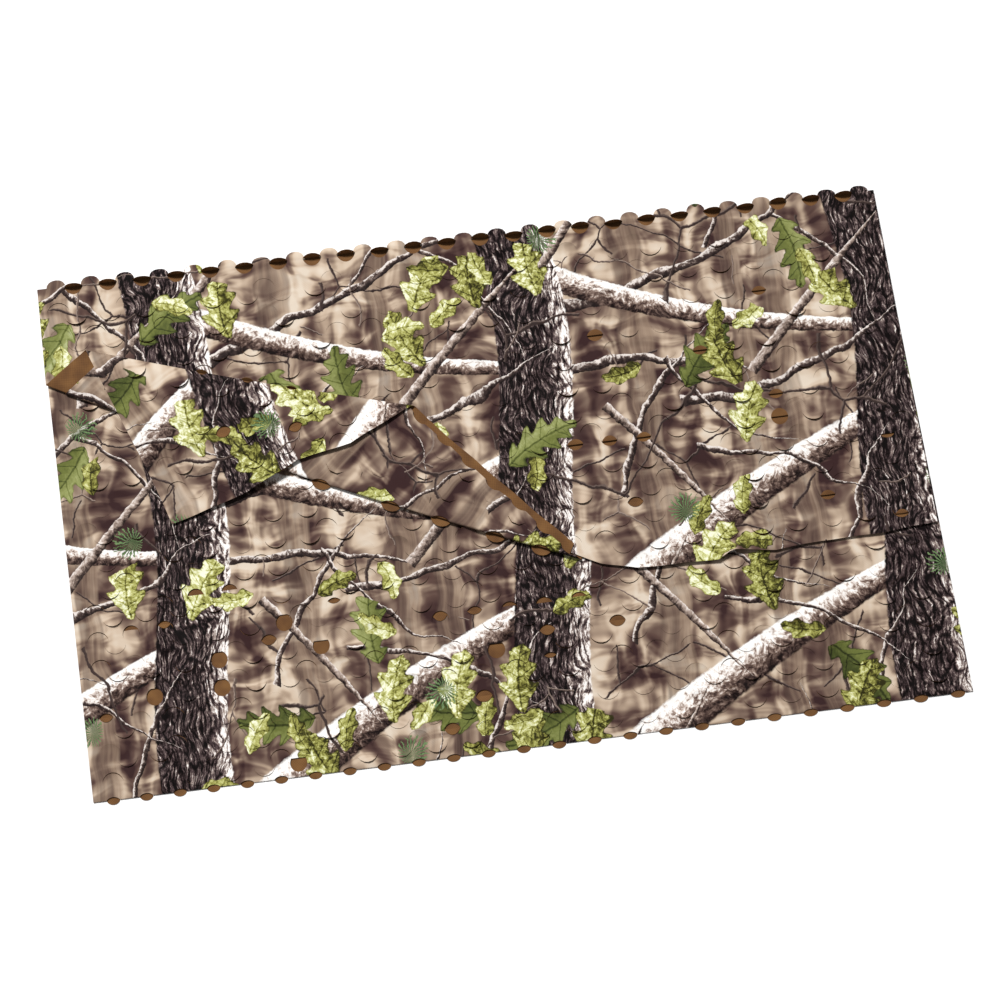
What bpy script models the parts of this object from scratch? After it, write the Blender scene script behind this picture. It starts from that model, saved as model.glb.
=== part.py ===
"""Camouflage net: one die-cut sheet, brown on its reverse, folded flat and lying on the ground.

The sheet is folded in half with its brown reverse inside, then in half again, so four layers
lie on each other and both cut ends meet on the front. Its lower left corner is then turned up
and turned down again, which pleats the two front layers together across the left half.

Metres, +Z up, X along the folds. The sheet's own coordinates are u, across from the left
selvedge, and v, along it from the front panel over the top fold to the back, under the bottom
fold to the base panel, and over the inner top fold to the inner panel.
"""
import math

import bpy
from mathutils import Vector
from mathutils.geometry import delaunay_2d_cdt

# Cloth
WIDTH = 1.500           # across the sheet, selvedge to selvedge
THICKNESS = 0.0012
PITCH = 0.0022          # from one layer's middle to the next one's
WAVE = 0.0016           # height of the slow waves in the top layer
WAVE_ALONG = (5.2, 2.1, 0.6)    # radians per metre in X and in Y, and the angle at the origin
WAVE_ACROSS = (-1.9, 6.4, 0.0)

# Folded outline, as ground positions of the straight folds
LEFT_TOP = -0.7549
LEFT_BOTTOM = -0.7419
TOP_WIDTH = 1.503
BOTTOM_WIDTH = 1.497
TOP_Y = 0.4564
BOTTOM_LEFT_Y = -0.4406
BOTTOM_RIGHT_Y = -0.4566
BOTTOM_GATHER = 0.033   # how far the middle of the bottom fold is drawn to the left

# Front panel's free end, measured down from the top fold
FRONT_END = (
    # u, length
    (0.000, 0.600),
    (0.320, 0.606),
    (0.560, 0.612),
    (0.760, 0.612),
    (0.900, 0.613),
    (0.980, 0.627),
    (1.120, 0.632),
    (1.145, 0.619),
    (1.220, 0.628),
    (1.500, 0.617),
)
INNER_END_SHORT = 0.016  # how much sooner the inner panel ends

# Pleat in the two front layers: the corner is turned up about one line and down about the other
INNER_SLIDE = 0.035     # how far the inner layer's left edge has slid along the first line
SLIDE_DEPTH = 0.150     # depth over which that slide builds up, from the top fold
DRAPE_LEVELS = (0.012, 0.030, 0.048, 0.075)  # past the pleat's edge, where the corner falls

# Layer numbers, from the ground up
BACK, BASE, INNER, FRONT = 0, 1, 2, 3
PLEAT_SUM = INNER + FRONT + 2       # a layer and the same layer turned up add up to this
CORNER_SUM = PLEAT_SUM + 4          # a turned-up layer and the same layer turned down
DRAPE_DROP = 4                      # layers in the pleat under the corner that falls past it

# Die cuts: columns and rows of round flaps, hinged below (caps) or above (cups)
FLAP_RADIUS = 0.0165
FLAP_STEPS = 4          # straight steps round a flap
HINGE_BOW = 0.006       # how far an open flap's hinge line is bowed
HINGE_SHARE = 0.45      # half the width of the bowed part, as a share of the radius
COLUMN_PITCH = 0.060
ROW_PITCH = 0.048
SLIT = 0.0012
FIRST_FLAP = {
    # panel and kind: u of column 0, depth of row 0 below the top fold
    ("front", "cup"): (0.057, 0.394),
    ("front", "cap"): (0.027, 0.418),
    ("base", "cup"): (0.063, 0.640),
    ("base", "cap"): (0.033, 0.664),
}
OPEN_FLAPS = (
    # panel, kind, row, columns that stand open
    ("front", "cup", -8, (12,)),
    ("front", "cup", -5, (20,)),
    ("front", "cup", -4, (15,)),
    ("front", "cup", -3, (18,)),
    ("front", "cup", -1, (20,)),
    ("front", "cup", 0, (14, 15, 16, 18, 20)),
    ("front", "cup", 1, (23,)),
    ("front", "cup", 3, (21,)),
    ("front", "cup", 4, (23,)),
    ("front", "cap", -8, (11,)),
    ("front", "cap", 0, (17,)),
    ("front", "cap", 2, (2, 16)),
    ("front", "cap", 3, (4,)),
    ("base", "cup", -3, (8,)),
    ("base", "cup", 0, (5,)),
    ("base", "cup", 1, (3, 6)),
    ("base", "cup", 2, (1, 3, 11)),
    ("base", "cup", 5, (5,)),
    ("base", "cap", -5, (7,)),
    ("base", "cap", -3, (4,)),
    ("base", "cap", -2, (3, 4)),
    ("base", "cap", -1, (1, 2, 7)),
    ("base", "cap", 0, (5, 10, 11, 12, 13, 14)),
    ("base", "cap", 1, (13, 15)),
    ("base", "cap", 2, (13,)),
    ("base", "cap", 3, (11,)),
    ("base", "cap", 4, (10,)),
)

# Tabs along the folds: fold, side they belong to, first, how many, spacing, radius
FOLD_TABS = (
    ("top", "near", 0.033, 25, COLUMN_PITCH, 0.0145),
    ("top", "far", 0.063, 24, COLUMN_PITCH, 0.0105),
    ("bottom", "near", 0.036, 25, COLUMN_PITCH, 0.0130),
    ("turn_up", "near", 0.138, 13, 0.068, 0.0140),
    ("turn_up", "far", 0.104, 13, 0.068, 0.0140),
    ("turn_down", "far", 0.070, 8, 0.066, 0.0140),
)
TAB_ARC = ((0.85, 0.53), (0.35, 0.94), (-0.35, 0.94), (-0.85, 0.53))  # across, outward
BITE_TIP = ((0.28, 0.96), (-0.28, 0.96))    # the same for the far end of a tab's bite

# Mesh
ARC_STEPS = 3           # straight steps round each fold
COLUMNS = 14            # plain points across the sheet
PANEL_STEP = 0.150      # plain points along it
DRAPE_STEPS = 4         # straight steps along each line of the falling corner
CLEAR = 0.030           # distance from a fold to the nearest plain point
INSET = 0.1             # share of a tab's radius, back from its hinge, where its plane is read
NUDGE = 1e-5            # step for reading the sheet's slope
MERGE = 2e-6            # points closer than this are one point
EDGE = 1e-5             # thinner than this along a cut edge is no cloth
HALVINGS = 40
RUN_LIMITS = (-0.20, 0.60, 1.20)    # a pleat line starts in the first span, ends in the second


class Slant:
    """A slanted fold line on the ground, slightly bowed towards the side it folds over."""

    def __init__(self, start, end, side, bow):
        span = Vector(end) - Vector(start)
        self.start = Vector(start)
        self.length = span.length
        self.along = span.normalized()
        self.out = Vector((self.along.y, -self.along.x)) * side
        self.bow = bow

    def bulge(self, run):
        """How far the line bows out at a distance along it."""
        share = min(max(run / self.length, 0.0), 1.0)
        return 4.0 * self.bow * share * (1.0 - share)

    def split(self, spot):
        """Distance of a point along the line, and past it."""
        offset = spot - self.start
        run = offset.dot(self.along)
        return run, offset.dot(self.out) - self.bulge(run)

    def place(self, run, out):
        """The point at a distance along the line and past it."""
        return self.start + self.along * run + self.out * (out + self.bulge(run))


TURN_UP = Slant((-0.7664, 0.2904), (0.1556, -0.1546), 1, 0.013)
TURN_DOWN = Slant((-0.7054, 0.3404), (-0.1324, 0.1604), -1, -0.005)


def smooth(t):
    """Ease from 0 to 1."""
    t = min(max(t, 0.0), 1.0)
    return t * t * (3.0 - 2.0 * t)


def table_value(table, at):
    """Read a value between a table's rows."""
    for (here, low), (there, high) in zip(table, table[1:]):
        if at <= there:
            return low + (high - low) * (at - here) / (there - here)
    return table[-1][1]


def turn_radius(low, high):
    """Radius of the bend that joins two layers."""
    return (high - low) * PITCH / 2.0


def bend_length(low, high):
    """Cloth taken up by the bend that joins two layers."""
    return math.pi * turn_radius(low, high)


def layer_height(layer):
    """Height of the middle of a layer."""
    return THICKNESS / 2.0 + layer * PITCH


PANEL = TOP_Y - (BOTTOM_LEFT_Y + BOTTOM_RIGHT_Y) / 2.0
V_BACK = bend_length(BACK, FRONT)
V_BOTTOM = V_BACK + PANEL
V_BASE = V_BOTTOM + bend_length(BACK, BASE)
V_INNER_TOP = V_BASE + PANEL
V_INNER = V_INNER_TOP + bend_length(BASE, INNER)


def front_end(u):
    """The v of the front panel's cut end."""
    return -table_value(FRONT_END, u)


def inner_end(u):
    """The v of the inner panel's cut end."""
    return V_INNER + table_value(FRONT_END, u) - INNER_END_SHORT


def ground_x(u, down):
    """X of the sheet, with down running from 0 at the top fold to 1 at the bottom fold."""
    top = LEFT_TOP + u * TOP_WIDTH / WIDTH
    share = u / WIDTH
    gather = BOTTOM_GATHER * 4.0 * share * (1.0 - share)
    bottom = LEFT_BOTTOM + u * BOTTOM_WIDTH / WIDTH - gather
    return top + (bottom - top) * down


def bottom_y(u):
    """Y of the bottom fold."""
    return BOTTOM_LEFT_Y + (BOTTOM_RIGHT_Y - BOTTOM_LEFT_Y) * u / WIDTH


def wave(x, y, height):
    """Slow unevenness, which grows with the height in the pile so that layers stay apart."""
    along = WAVE_ALONG[0] * x + WAVE_ALONG[1] * y + WAVE_ALONG[2]
    across = WAVE_ACROSS[0] * x + WAVE_ACROSS[1] * y + WAVE_ACROSS[2]
    pattern = math.sin(along) * math.cos(across)
    return WAVE * (1.0 + pattern) * height / layer_height(CORNER_SUM)


def bend(distance, radius):
    """Place a point past a fold's edge: how far out it lies, and its angle round the bend."""
    angle = min(max(distance / radius, 0.0), math.pi)
    if angle < math.pi:
        return min(distance, 0.0) + radius * math.sin(angle), angle
    return math.pi * radius - distance, angle


def bend_height(low, high, angle):
    """Height at an angle round the bend that rises from one layer to the other."""
    middle = (layer_height(low) + layer_height(high)) / 2.0
    return middle - turn_radius(low, high) * math.cos(angle)


def pleat(flat, layer):
    """Fold a point of the front or inner layer about the pleat's two lines."""
    turned_up = PLEAT_SUM - layer
    run, out = TURN_UP.split(flat)
    out, angle = bend(out, turn_radius(layer, turned_up))
    spot = TURN_UP.place(run, out)
    height = bend_height(layer, turned_up, angle)
    if angle < math.pi:
        return spot, height
    turned_down = CORNER_SUM - turned_up
    run, out = TURN_DOWN.split(spot)
    out, angle = bend(out, turn_radius(turned_up, turned_down))
    spot = TURN_DOWN.place(run, out)
    height = bend_height(turned_up, turned_down, angle)
    _, past = TURN_UP.split(spot)
    fall = smooth((past - DRAPE_LEVELS[0]) / (DRAPE_LEVELS[-1] - DRAPE_LEVELS[0]))
    return spot, height - DRAPE_DROP * PITCH * fall


def slide(u, depth):
    """Slip of the inner layer along the pleat's first line."""
    return INNER_SLIDE * (1.0 - u / WIDTH) * smooth(depth / SLIDE_DEPTH)


def lay(u, v):
    """Place a point of the sheet's middle in the folded bundle."""
    if v < 0.0:
        spot, height = pleat(Vector((ground_x(u, 0.0), TOP_Y + v)), FRONT)
    elif v < V_BACK:
        angle = v / turn_radius(BACK, FRONT)
        out = turn_radius(BACK, FRONT) * math.sin(angle)
        spot = Vector((ground_x(u, 0.0), TOP_Y + out))
        height = bend_height(BACK, FRONT, math.pi - angle)
    elif v < V_BOTTOM:
        down = (v - V_BACK) / PANEL
        spot = Vector((ground_x(u, down), TOP_Y + (bottom_y(u) - TOP_Y) * down))
        height = layer_height(BACK)
    elif v < V_BASE:
        angle = (v - V_BOTTOM) / turn_radius(BACK, BASE)
        out = turn_radius(BACK, BASE) * math.sin(angle)
        spot = Vector((ground_x(u, 1.0), bottom_y(u) - out))
        height = bend_height(BACK, BASE, angle)
    elif v < V_INNER_TOP:
        down = 1.0 - (v - V_BASE) / PANEL
        spot = Vector((ground_x(u, down), TOP_Y + (bottom_y(u) - TOP_Y) * down))
        height = layer_height(BASE)
    elif v < V_INNER:
        angle = (v - V_INNER_TOP) / turn_radius(BASE, INNER)
        out = turn_radius(BASE, INNER) * math.sin(angle)
        spot = Vector((ground_x(u, 0.0), TOP_Y + out))
        height = bend_height(BASE, INNER, angle)
    else:
        depth = v - V_INNER
        flat = Vector((ground_x(u, 0.0), TOP_Y - depth)) + TURN_UP.along * slide(u, depth)
        spot, height = pleat(flat, INNER)
    rise = wave(spot.x, spot.y, height - layer_height(BACK))
    return Vector((spot.x, spot.y, height + rise))


def surface(u, v):
    """Middle point of the sheet and its printed side's normal."""
    across = lay(u + NUDGE, v) - lay(u - NUDGE, v)
    along = lay(u, v + NUDGE) - lay(u, v - NUDGE)
    return lay(u, v), across.cross(along).normalized()


def sheet_point(flat, layer):
    """Sheet coordinates of a point of the unpleated front or inner layer."""
    per_u = TOP_WIDTH / WIDTH
    slip = INNER_SLIDE * TURN_UP.along if layer == INNER else Vector((0.0, 0.0))
    u = (flat.x - LEFT_TOP - slip.x) / (per_u - slip.x / WIDTH)
    depth = TOP_Y - flat.y + slip.y * (1.0 - u / WIDTH)
    return Vector((u, -depth if layer == FRONT else V_INNER + depth))


def unturn(spot, line, low, high):
    """Where a point of the higher layer lies before the bend from the lower one."""
    run, out = line.split(spot)
    return line.place(run, bend_length(low, high) - out)


def slanted_point(name, layer, distance, run):
    """Sheet point on a line along the pleat, at a distance past that line's near edge."""
    turned_up = PLEAT_SUM - layer
    if name == "turn_up":
        return sheet_point(TURN_UP.place(run, distance), layer)
    spot = TURN_DOWN.place(run, distance)
    if name == "drape":
        turned_down = CORNER_SUM - turned_up
        spot = unturn(TURN_UP.place(run, distance), TURN_DOWN, turned_up, turned_down)
    return sheet_point(unturn(spot, TURN_UP, layer, turned_up), layer)


def straight_folds():
    """Every straight bend of the sheet: name, v of its near edge, cloth that it takes up."""
    return (
        ("top", 0.0, V_BACK),
        ("bottom", V_BOTTOM, V_BASE - V_BOTTOM),
        ("inner_top", V_INNER_TOP, V_INNER - V_INNER_TOP),
    )


def slanted_folds():
    """Every bend of the pleat: name, layer, cloth that it takes up."""
    return (
        ("turn_up", FRONT, bend_length(FRONT, PLEAT_SUM - FRONT)),
        ("turn_up", INNER, bend_length(INNER, PLEAT_SUM - INNER)),
        ("turn_down", FRONT, bend_length(PLEAT_SUM - FRONT, CORNER_SUM - PLEAT_SUM + FRONT)),
        ("turn_down", INNER, bend_length(PLEAT_SUM - INNER, CORNER_SUM - PLEAT_SUM + INNER)),
    )


def on_panel(spot, layer):
    """True while a sheet point has not passed the cut end of its panel."""
    return spot.y > front_end(spot.x) if layer == FRONT else spot.y < inner_end(spot.x)


def halve(test, low, high):
    """Where a test that holds at the low end first fails."""
    for _ in range(HALVINGS):
        middle = (low + high) / 2.0
        low, high = (middle, high) if test(middle) else (low, middle)
    return low


def slanted_runs(name, layer, distance):
    """Where a line along the pleat enters at the selvedge and leaves at the cut end."""
    low, middle, high = RUN_LIMITS
    first = halve(lambda run: slanted_point(name, layer, distance, run).x < 0.0, low, middle)
    last = halve(lambda run: on_panel(slanted_point(name, layer, distance, run), layer), first, high)
    return first, last


class SheetPlan:
    """Points, lines and cut-outs of the flat sheet, ready to be triangulated."""

    def __init__(self):
        self.points = []
        self.edges = []
        self.holes = []
        self.tabs = []

    def add_line(self, line, closed=False):
        """Keep a chain of points as edges of the mesh."""
        first = len(self.points)
        self.points.extend(line)
        count = len(line)
        last = count if closed else count - 1
        self.edges.extend((first + i, first + (i + 1) % count) for i in range(last))

    def add_hole(self, outline):
        """Cut an outline out of the sheet."""
        self.add_line(outline, closed=True)
        self.holes.append(outline)


def open_flap(kind, u, v):
    """Outline of the hole that an open flap leaves, on a panel where v runs upwards."""
    side = 1.0 if kind == "cap" else -1.0
    hinge = v - side * (FLAP_RADIUS - HINGE_BOW) / 2.0
    outline = []
    for step in range(FLAP_STEPS + 1):
        angle = math.pi * step / FLAP_STEPS
        across = FLAP_RADIUS * math.cos(angle)
        outline.append(Vector((u + across, hinge + side * FLAP_RADIUS * math.sin(angle))))
    for share in (-HINGE_SHARE, HINGE_SHARE):
        outline.append(Vector((u + share * FLAP_RADIUS, hinge - side * HINGE_BOW)))
    return outline


def add_open_flaps(plan):
    """Cut the open flaps of the front and base panels."""
    for panel, kind, row, columns in OPEN_FLAPS:
        first, depth = FIRST_FLAP[panel, kind]
        top = 0.0 if panel == "front" else V_INNER_TOP
        for column in columns:
            u = first + column * COLUMN_PITCH
            plan.add_hole(open_flap(kind, u, top - depth - row * ROW_PITCH))


def bend_levels(length):
    """Distances of a bend's steps from its edge."""
    return [length * step / ARC_STEPS for step in range(ARC_STEPS + 1)]


def half_width(radius, away):
    """Half the width of a round tab at a distance from its hinge."""
    return math.sqrt(radius * radius - away * away)


def fold_tabs(name, length):
    """Every tab on a bend: place along it, distance of its hinge, direction, radius."""
    found = []
    for fold, side, first, count, spacing, radius in FOLD_TABS:
        if fold == name:
            hinge, outward = (0.0, 1) if side == "near" else (length, -1)
            found.extend((first + i * spacing, hinge, outward, radius) for i in range(count))
    return sorted(found)


def add_bend(plan, point, length, ends, tabs):
    """Lines round one bend, with a bite and a tab wherever a flap stands straight on."""
    for level in bend_levels(length):
        runs = [*ends(level)]
        for run, hinge, _, radius in tabs:
            half = half_width(radius + SLIT, level - hinge)
            runs += [run - half, run + half]
            if level == hinge:
                runs += [run - radius, run + radius]
        plan.add_line([point(level, run) for run in sorted(runs)])
    for run, hinge, outward, radius in tabs:
        bite = radius + SLIT
        levels = sorted(bend_levels(length), key=lambda level: (level - hinge) * outward)
        right = [point(at, run + half_width(bite, at - hinge)) for at in levels]
        left = [point(at, run - half_width(bite, at - hinge)) for at in levels]
        tip = [point(hinge + outward * bite * far, run + bite * side) for side, far in BITE_TIP]
        root = point(hinge, run)
        chord = (point(hinge, run + radius), point(hinge, run - radius))
        plan.add_hole(right + tip + left[::-1] + list(chord[::-1]))
        plan.tabs.append((root, point(hinge + outward * radius, run) - root, chord))


def add_straight_folds(plan):
    """Lines round the top, bottom and inner folds, with their tabs."""
    for name, start, length in straight_folds():
        tabs = fold_tabs(name, length)
        add_bend(
            plan,
            lambda level, run, start=start: Vector((run, start + level)),
            length,
            lambda level: (0.0, WIDTH),
            tabs,
        )


def add_slanted_folds(plan):
    """Lines round the pleat's four bends, with tabs on the outer bends."""
    for name, layer, length in slanted_folds():
        outer = layer == (INNER if name == "turn_up" else FRONT)
        add_bend(
            plan,
            lambda level, run, name=name, layer=layer: slanted_point(name, layer, level, run),
            length,
            lambda level, name=name, layer=layer: slanted_runs(name, layer, level),
            fold_tabs(name, length) if outer else [],
        )
    for layer in (FRONT, INNER):
        for level in DRAPE_LEVELS:
            first, last = slanted_runs("drape", layer, level)
            stride = (last - first) / DRAPE_STEPS
            runs = [first + stride * step for step in range(DRAPE_STEPS + 1)]
            plan.add_line([slanted_point("drape", layer, level, run) for run in runs])


def add_outline(plan):
    """The sheet's selvedges and cut ends."""
    plan.add_line([Vector((u, front_end(u))) for u, _ in FRONT_END])
    plan.add_line([Vector((u, inner_end(u))) for u, _ in FRONT_END])
    for u in (0.0, WIDTH):
        plan.add_line([Vector((u, front_end(u))), Vector((u, inner_end(u)))])


def clear_of_pleat(spot, layer):
    """True where a point keeps clear of the pleat's bends."""
    flat = Vector((ground_x(spot.x, 0.0), TOP_Y + spot.y))
    if layer == INNER:
        depth = spot.y - V_INNER
        flat = Vector((flat.x, TOP_Y - depth)) + TURN_UP.along * slide(spot.x, depth)
    run, out = TURN_UP.split(flat)
    if abs(out) < CLEAR:
        return False
    if out < 0.0:
        return True
    run, out = TURN_DOWN.split(TURN_UP.place(run, bend_length(layer, PLEAT_SUM - layer) - out))
    return abs(out) > CLEAR


def add_plain_points(plan):
    """Points over the panels, clear of every fold."""
    rows = int((inner_end(0.0) - front_end(0.0)) / PANEL_STEP) + 1
    for row in range(1, rows):
        v = front_end(0.0) + row * PANEL_STEP
        if any(start - CLEAR < v < start + length + CLEAR for _, start, length in straight_folds()):
            continue
        for column in range(COLUMNS + 1):
            spot = Vector((WIDTH * column / COLUMNS, v))
            if not front_end(spot.x) + CLEAR < v < inner_end(spot.x) - CLEAR:
                continue
            if 0.0 < v < V_INNER or clear_of_pleat(spot, FRONT if v < 0.0 else INNER):
                plan.points.append(spot)


def inside_outline(spot, outline):
    """Even-odd test of a point against a closed outline."""
    inside = False
    for a, b in zip(outline, outline[1:] + outline[:1]):
        if (a.y > spot.y) != (b.y > spot.y):
            if spot.x < a.x + (spot.y - a.y) * (b.x - a.x) / (b.y - a.y):
                inside = not inside
    return inside


def flat_triangles(plan):
    """Triangulate the flat sheet and leave out its cut-outs."""
    points, _, faces, _, _, _ = delaunay_2d_cdt(plan.points, plan.edges, [], 0, MERGE)
    kept = []
    for face in faces:
        middle = sum((points[i] for i in face), Vector((0.0, 0.0))) / 3.0
        if not front_end(middle.x) + EDGE < middle.y < inner_end(middle.x) - EDGE:
            continue
        if not EDGE < middle.x < WIDTH - EDGE:
            continue
        near = [hole for hole in plan.holes if (hole[0] - middle).length < 4.0 * FLAP_RADIUS]
        if any(inside_outline(middle, hole) for hole in near):
            continue
        kept.append(list(face))
    return points, kept


def nearest(points, spot):
    """Index of the point at a place."""
    return min(range(len(points)), key=lambda i: (points[i] - spot).length_squared)


def folded_sheet(plan):
    """Middle points, normals and triangles of the folded sheet with its tabs."""
    points, faces = flat_triangles(plan)
    middles = []
    normals = []
    for spot in points:
        middle, normal = surface(spot.x, spot.y)
        middles.append(middle)
        normals.append(normal)
    for root, outward, chord in plan.tabs:
        ends = [nearest(points, end) for end in chord]
        inward = root - outward * INSET
        base, normal = surface(inward.x, inward.y)
        beside = lay(*(inward + (chord[0] - root) * INSET))
        before = lay(*(inward - outward * INSET))
        across = (beside - base).normalized()
        proud = (base - before).normalized()
        centre = (middles[ends[0]] + middles[ends[1]]) / 2.0
        radius = outward.length
        fan = [ends[0]]
        for share, height in TAB_ARC:
            fan.append(len(middles))
            middles.append(centre + (across * share + proud * height) * radius)
            normals.append(normal)
        fan.append(ends[1])
        if (chord[0] - root).cross(outward) < 0.0:
            fan.reverse()
        faces.extend([fan[0], fan[i], fan[i + 1]] for i in range(1, len(fan) - 1))
    return middles, normals, faces


def thicken(middles, normals, faces):
    """Give the sheet its thickness: two faces and the walls round every edge."""
    used = sorted({i for face in faces for i in face})
    place = {old: new for new, old in enumerate(used)}
    count = len(used)
    half = THICKNESS / 2.0
    vertices = [middles[i] + normals[i] * half for i in used]
    vertices += [middles[i] - normals[i] * half for i in used]
    solid = []
    directed = set()
    for face in faces:
        ring = [place[i] for i in face]
        solid.append(ring)
        solid.append([i + count for i in reversed(ring)])
        directed.update(zip(ring, ring[1:] + ring[:1]))
    for a, b in sorted(directed):
        if (b, a) not in directed:
            solid.append([b, a, a + count])
            solid.append([b, a + count, b + count])
    return vertices, solid


def net_material():
    """Matt printed polyester."""
    material = bpy.data.materials.new("printed_polyester")
    material.use_nodes = True
    shader = material.node_tree.nodes["Principled BSDF"]
    shader.inputs["Base Color"].default_value = (0.26, 0.21, 0.15, 1.0)
    shader.inputs["Roughness"].default_value = 0.85
    shader.inputs["Metallic"].default_value = 0.0
    return material


def net_sheet():
    """The whole net as one solid."""
    plan = SheetPlan()
    add_outline(plan)
    add_straight_folds(plan)
    add_slanted_folds(plan)
    add_open_flaps(plan)
    add_plain_points(plan)
    vertices, faces = thicken(*folded_sheet(plan))
    mesh = bpy.data.meshes.new("net_sheet")
    mesh.from_pydata(vertices, [], faces)
    mesh.materials.append(net_material())
    sheet = bpy.data.objects.new("net_sheet", mesh)
    bpy.context.scene.collection.objects.link(sheet)
    return sheet


for leftover in list(bpy.data.objects):
    bpy.data.objects.remove(leftover, do_unlink=True)
net_sheet()
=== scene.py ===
import functools
import math

import bpy
import numpy as np
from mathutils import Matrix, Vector
from mathutils.geometry import delaunay_2d_cdt


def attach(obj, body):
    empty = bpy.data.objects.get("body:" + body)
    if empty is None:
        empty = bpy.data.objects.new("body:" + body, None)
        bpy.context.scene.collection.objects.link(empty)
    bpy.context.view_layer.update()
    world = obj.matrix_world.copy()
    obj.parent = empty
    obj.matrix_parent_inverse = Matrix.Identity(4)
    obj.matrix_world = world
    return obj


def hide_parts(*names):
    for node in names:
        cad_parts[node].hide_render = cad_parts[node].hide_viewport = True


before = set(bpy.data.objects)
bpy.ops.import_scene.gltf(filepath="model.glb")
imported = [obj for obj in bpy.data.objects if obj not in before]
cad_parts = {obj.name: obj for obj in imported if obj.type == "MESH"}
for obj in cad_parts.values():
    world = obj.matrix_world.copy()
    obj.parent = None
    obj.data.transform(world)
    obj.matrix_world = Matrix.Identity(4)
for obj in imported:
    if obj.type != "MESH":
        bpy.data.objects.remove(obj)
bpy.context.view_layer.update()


# ---------------------------------------------------------------- the studio
# The net lies on a plain white table, looked down on from the near side and a little to the
# left. One soft lamp stands high beyond its far left corner, so shadows fall towards the
# near right, and white walls fill them.

FLOOR_SIZE = 40.0
CAMERA_PLACE = (-0.21866, -0.70631, 3.21342)
CAMERA_TURN = (0.21707, -0.03771, -0.13939)
LENS_MM = 68.33
LAMP_PLACE = (-3.6, 6.4, 11.8)      # it looks at the middle of the table
LAMP_SIZE, LAMP_WATTS = 2.2, 2260.0
WALL_LIGHT = 0.20


def linear(hex_colour):
    """Turn an sRGB hex colour into the linear colour that a shader takes."""
    parts = [int(hex_colour[i:i + 2], 16) / 255.0 for i in (1, 3, 5)]
    return tuple(p / 12.92 if p <= 0.04045 else ((p + 0.055) / 1.055) ** 2.4 for p in parts) + (1.0,)


def node(tree, kind, *inputs, stops=(), **named):
    """Add a node, and link or fill its inputs; a ramp also takes its stops.

    A shader node's kind goes without its prefix, and may be followed by its operation. Of the named
    values, capitalised ones are inputs and the others are settings.
    """
    kind, _, operation = kind.partition(" ")
    made = tree.nodes.new(kind if "Node" in kind else "ShaderNode" + kind)
    if operation:
        made.operation = operation
    filled = dict(enumerate(inputs))
    for name, value in named.items():
        if name[0].isupper():
            filled[name] = value
        else:
            setattr(made, name, value)
    for i, (position, colour) in enumerate(stops):
        ramp = made.color_ramp.elements
        stop = ramp[0] if i == 0 else ramp[-1] if i == len(stops) - 1 else ramp.new(position)
        stop.position, stop.color = position, linear(colour)
    for key, value in filled.items():
        if isinstance(value, bpy.types.Node):
            value = value.outputs[0]
        if isinstance(value, bpy.types.NodeSocket):
            tree.links.new(value, made.inputs[key])
        else:
            made.inputs[key].default_value = value
    return made


def new_material(name):
    """An empty material with its shader, ready for its own nodes."""
    material = bpy.data.materials.new(name)
    material.use_nodes = True
    return material, material.node_tree, material.node_tree.nodes["Principled BSDF"]


def add_object(name, data):
    """Put an object with its data in the scene."""
    made = bpy.data.objects.new(name, data)
    bpy.context.scene.collection.objects.link(made)
    return made


# Matt white card: its fibres scatter light evenly, so it shows no shine and no colour of its own
card, _, card_shader = new_material("matt white card")
card_shader.inputs["Base Color"].default_value = linear("#fdfdfd")
card_shader.inputs["Roughness"].default_value = 0.9

half = FLOOR_SIZE / 2.0
floor_mesh = bpy.data.meshes.new("floor")
corners = ((-half, -half), (half, -half), (half, half), (-half, half))
floor_mesh.from_pydata([(x, y, 0) for x, y in corners], [], [(0, 1, 2, 3)])
floor_mesh.materials.append(card)
floor = add_object("floor", floor_mesh)

camera = add_object("camera", bpy.data.cameras.new("camera"))
camera.location = CAMERA_PLACE
camera.rotation_euler = CAMERA_TURN
camera.data.lens = LENS_MM
bpy.context.scene.camera = camera

lamp = add_object("softbox", bpy.data.lights.new("softbox", "AREA"))
lamp.data.shape = "SQUARE"
lamp.data.size = LAMP_SIZE
lamp.data.energy = LAMP_WATTS
lamp.location = LAMP_PLACE
lamp.rotation_euler = (-Vector(LAMP_PLACE)).to_track_quat("-Z", "Y").to_euler()

world = bpy.data.worlds.new("white walls")
world.use_nodes = True
walls = world.node_tree.nodes["Background"].inputs
walls["Color"].default_value = linear("#ffffff")
walls["Strength"].default_value = WALL_LIGHT
bpy.context.scene.world = world
bpy.context.scene.view_settings.view_transform = "Standard"


# ------------------------------------------------------- the net: its folds
# One sheet of thin printed polyester, folded in half with its brown reverse inside and then
# in half again. The lower left corner of the two front layers is turned up along one slanted
# crease and down again along another, and hangs over the edge of that pleat.

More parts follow.
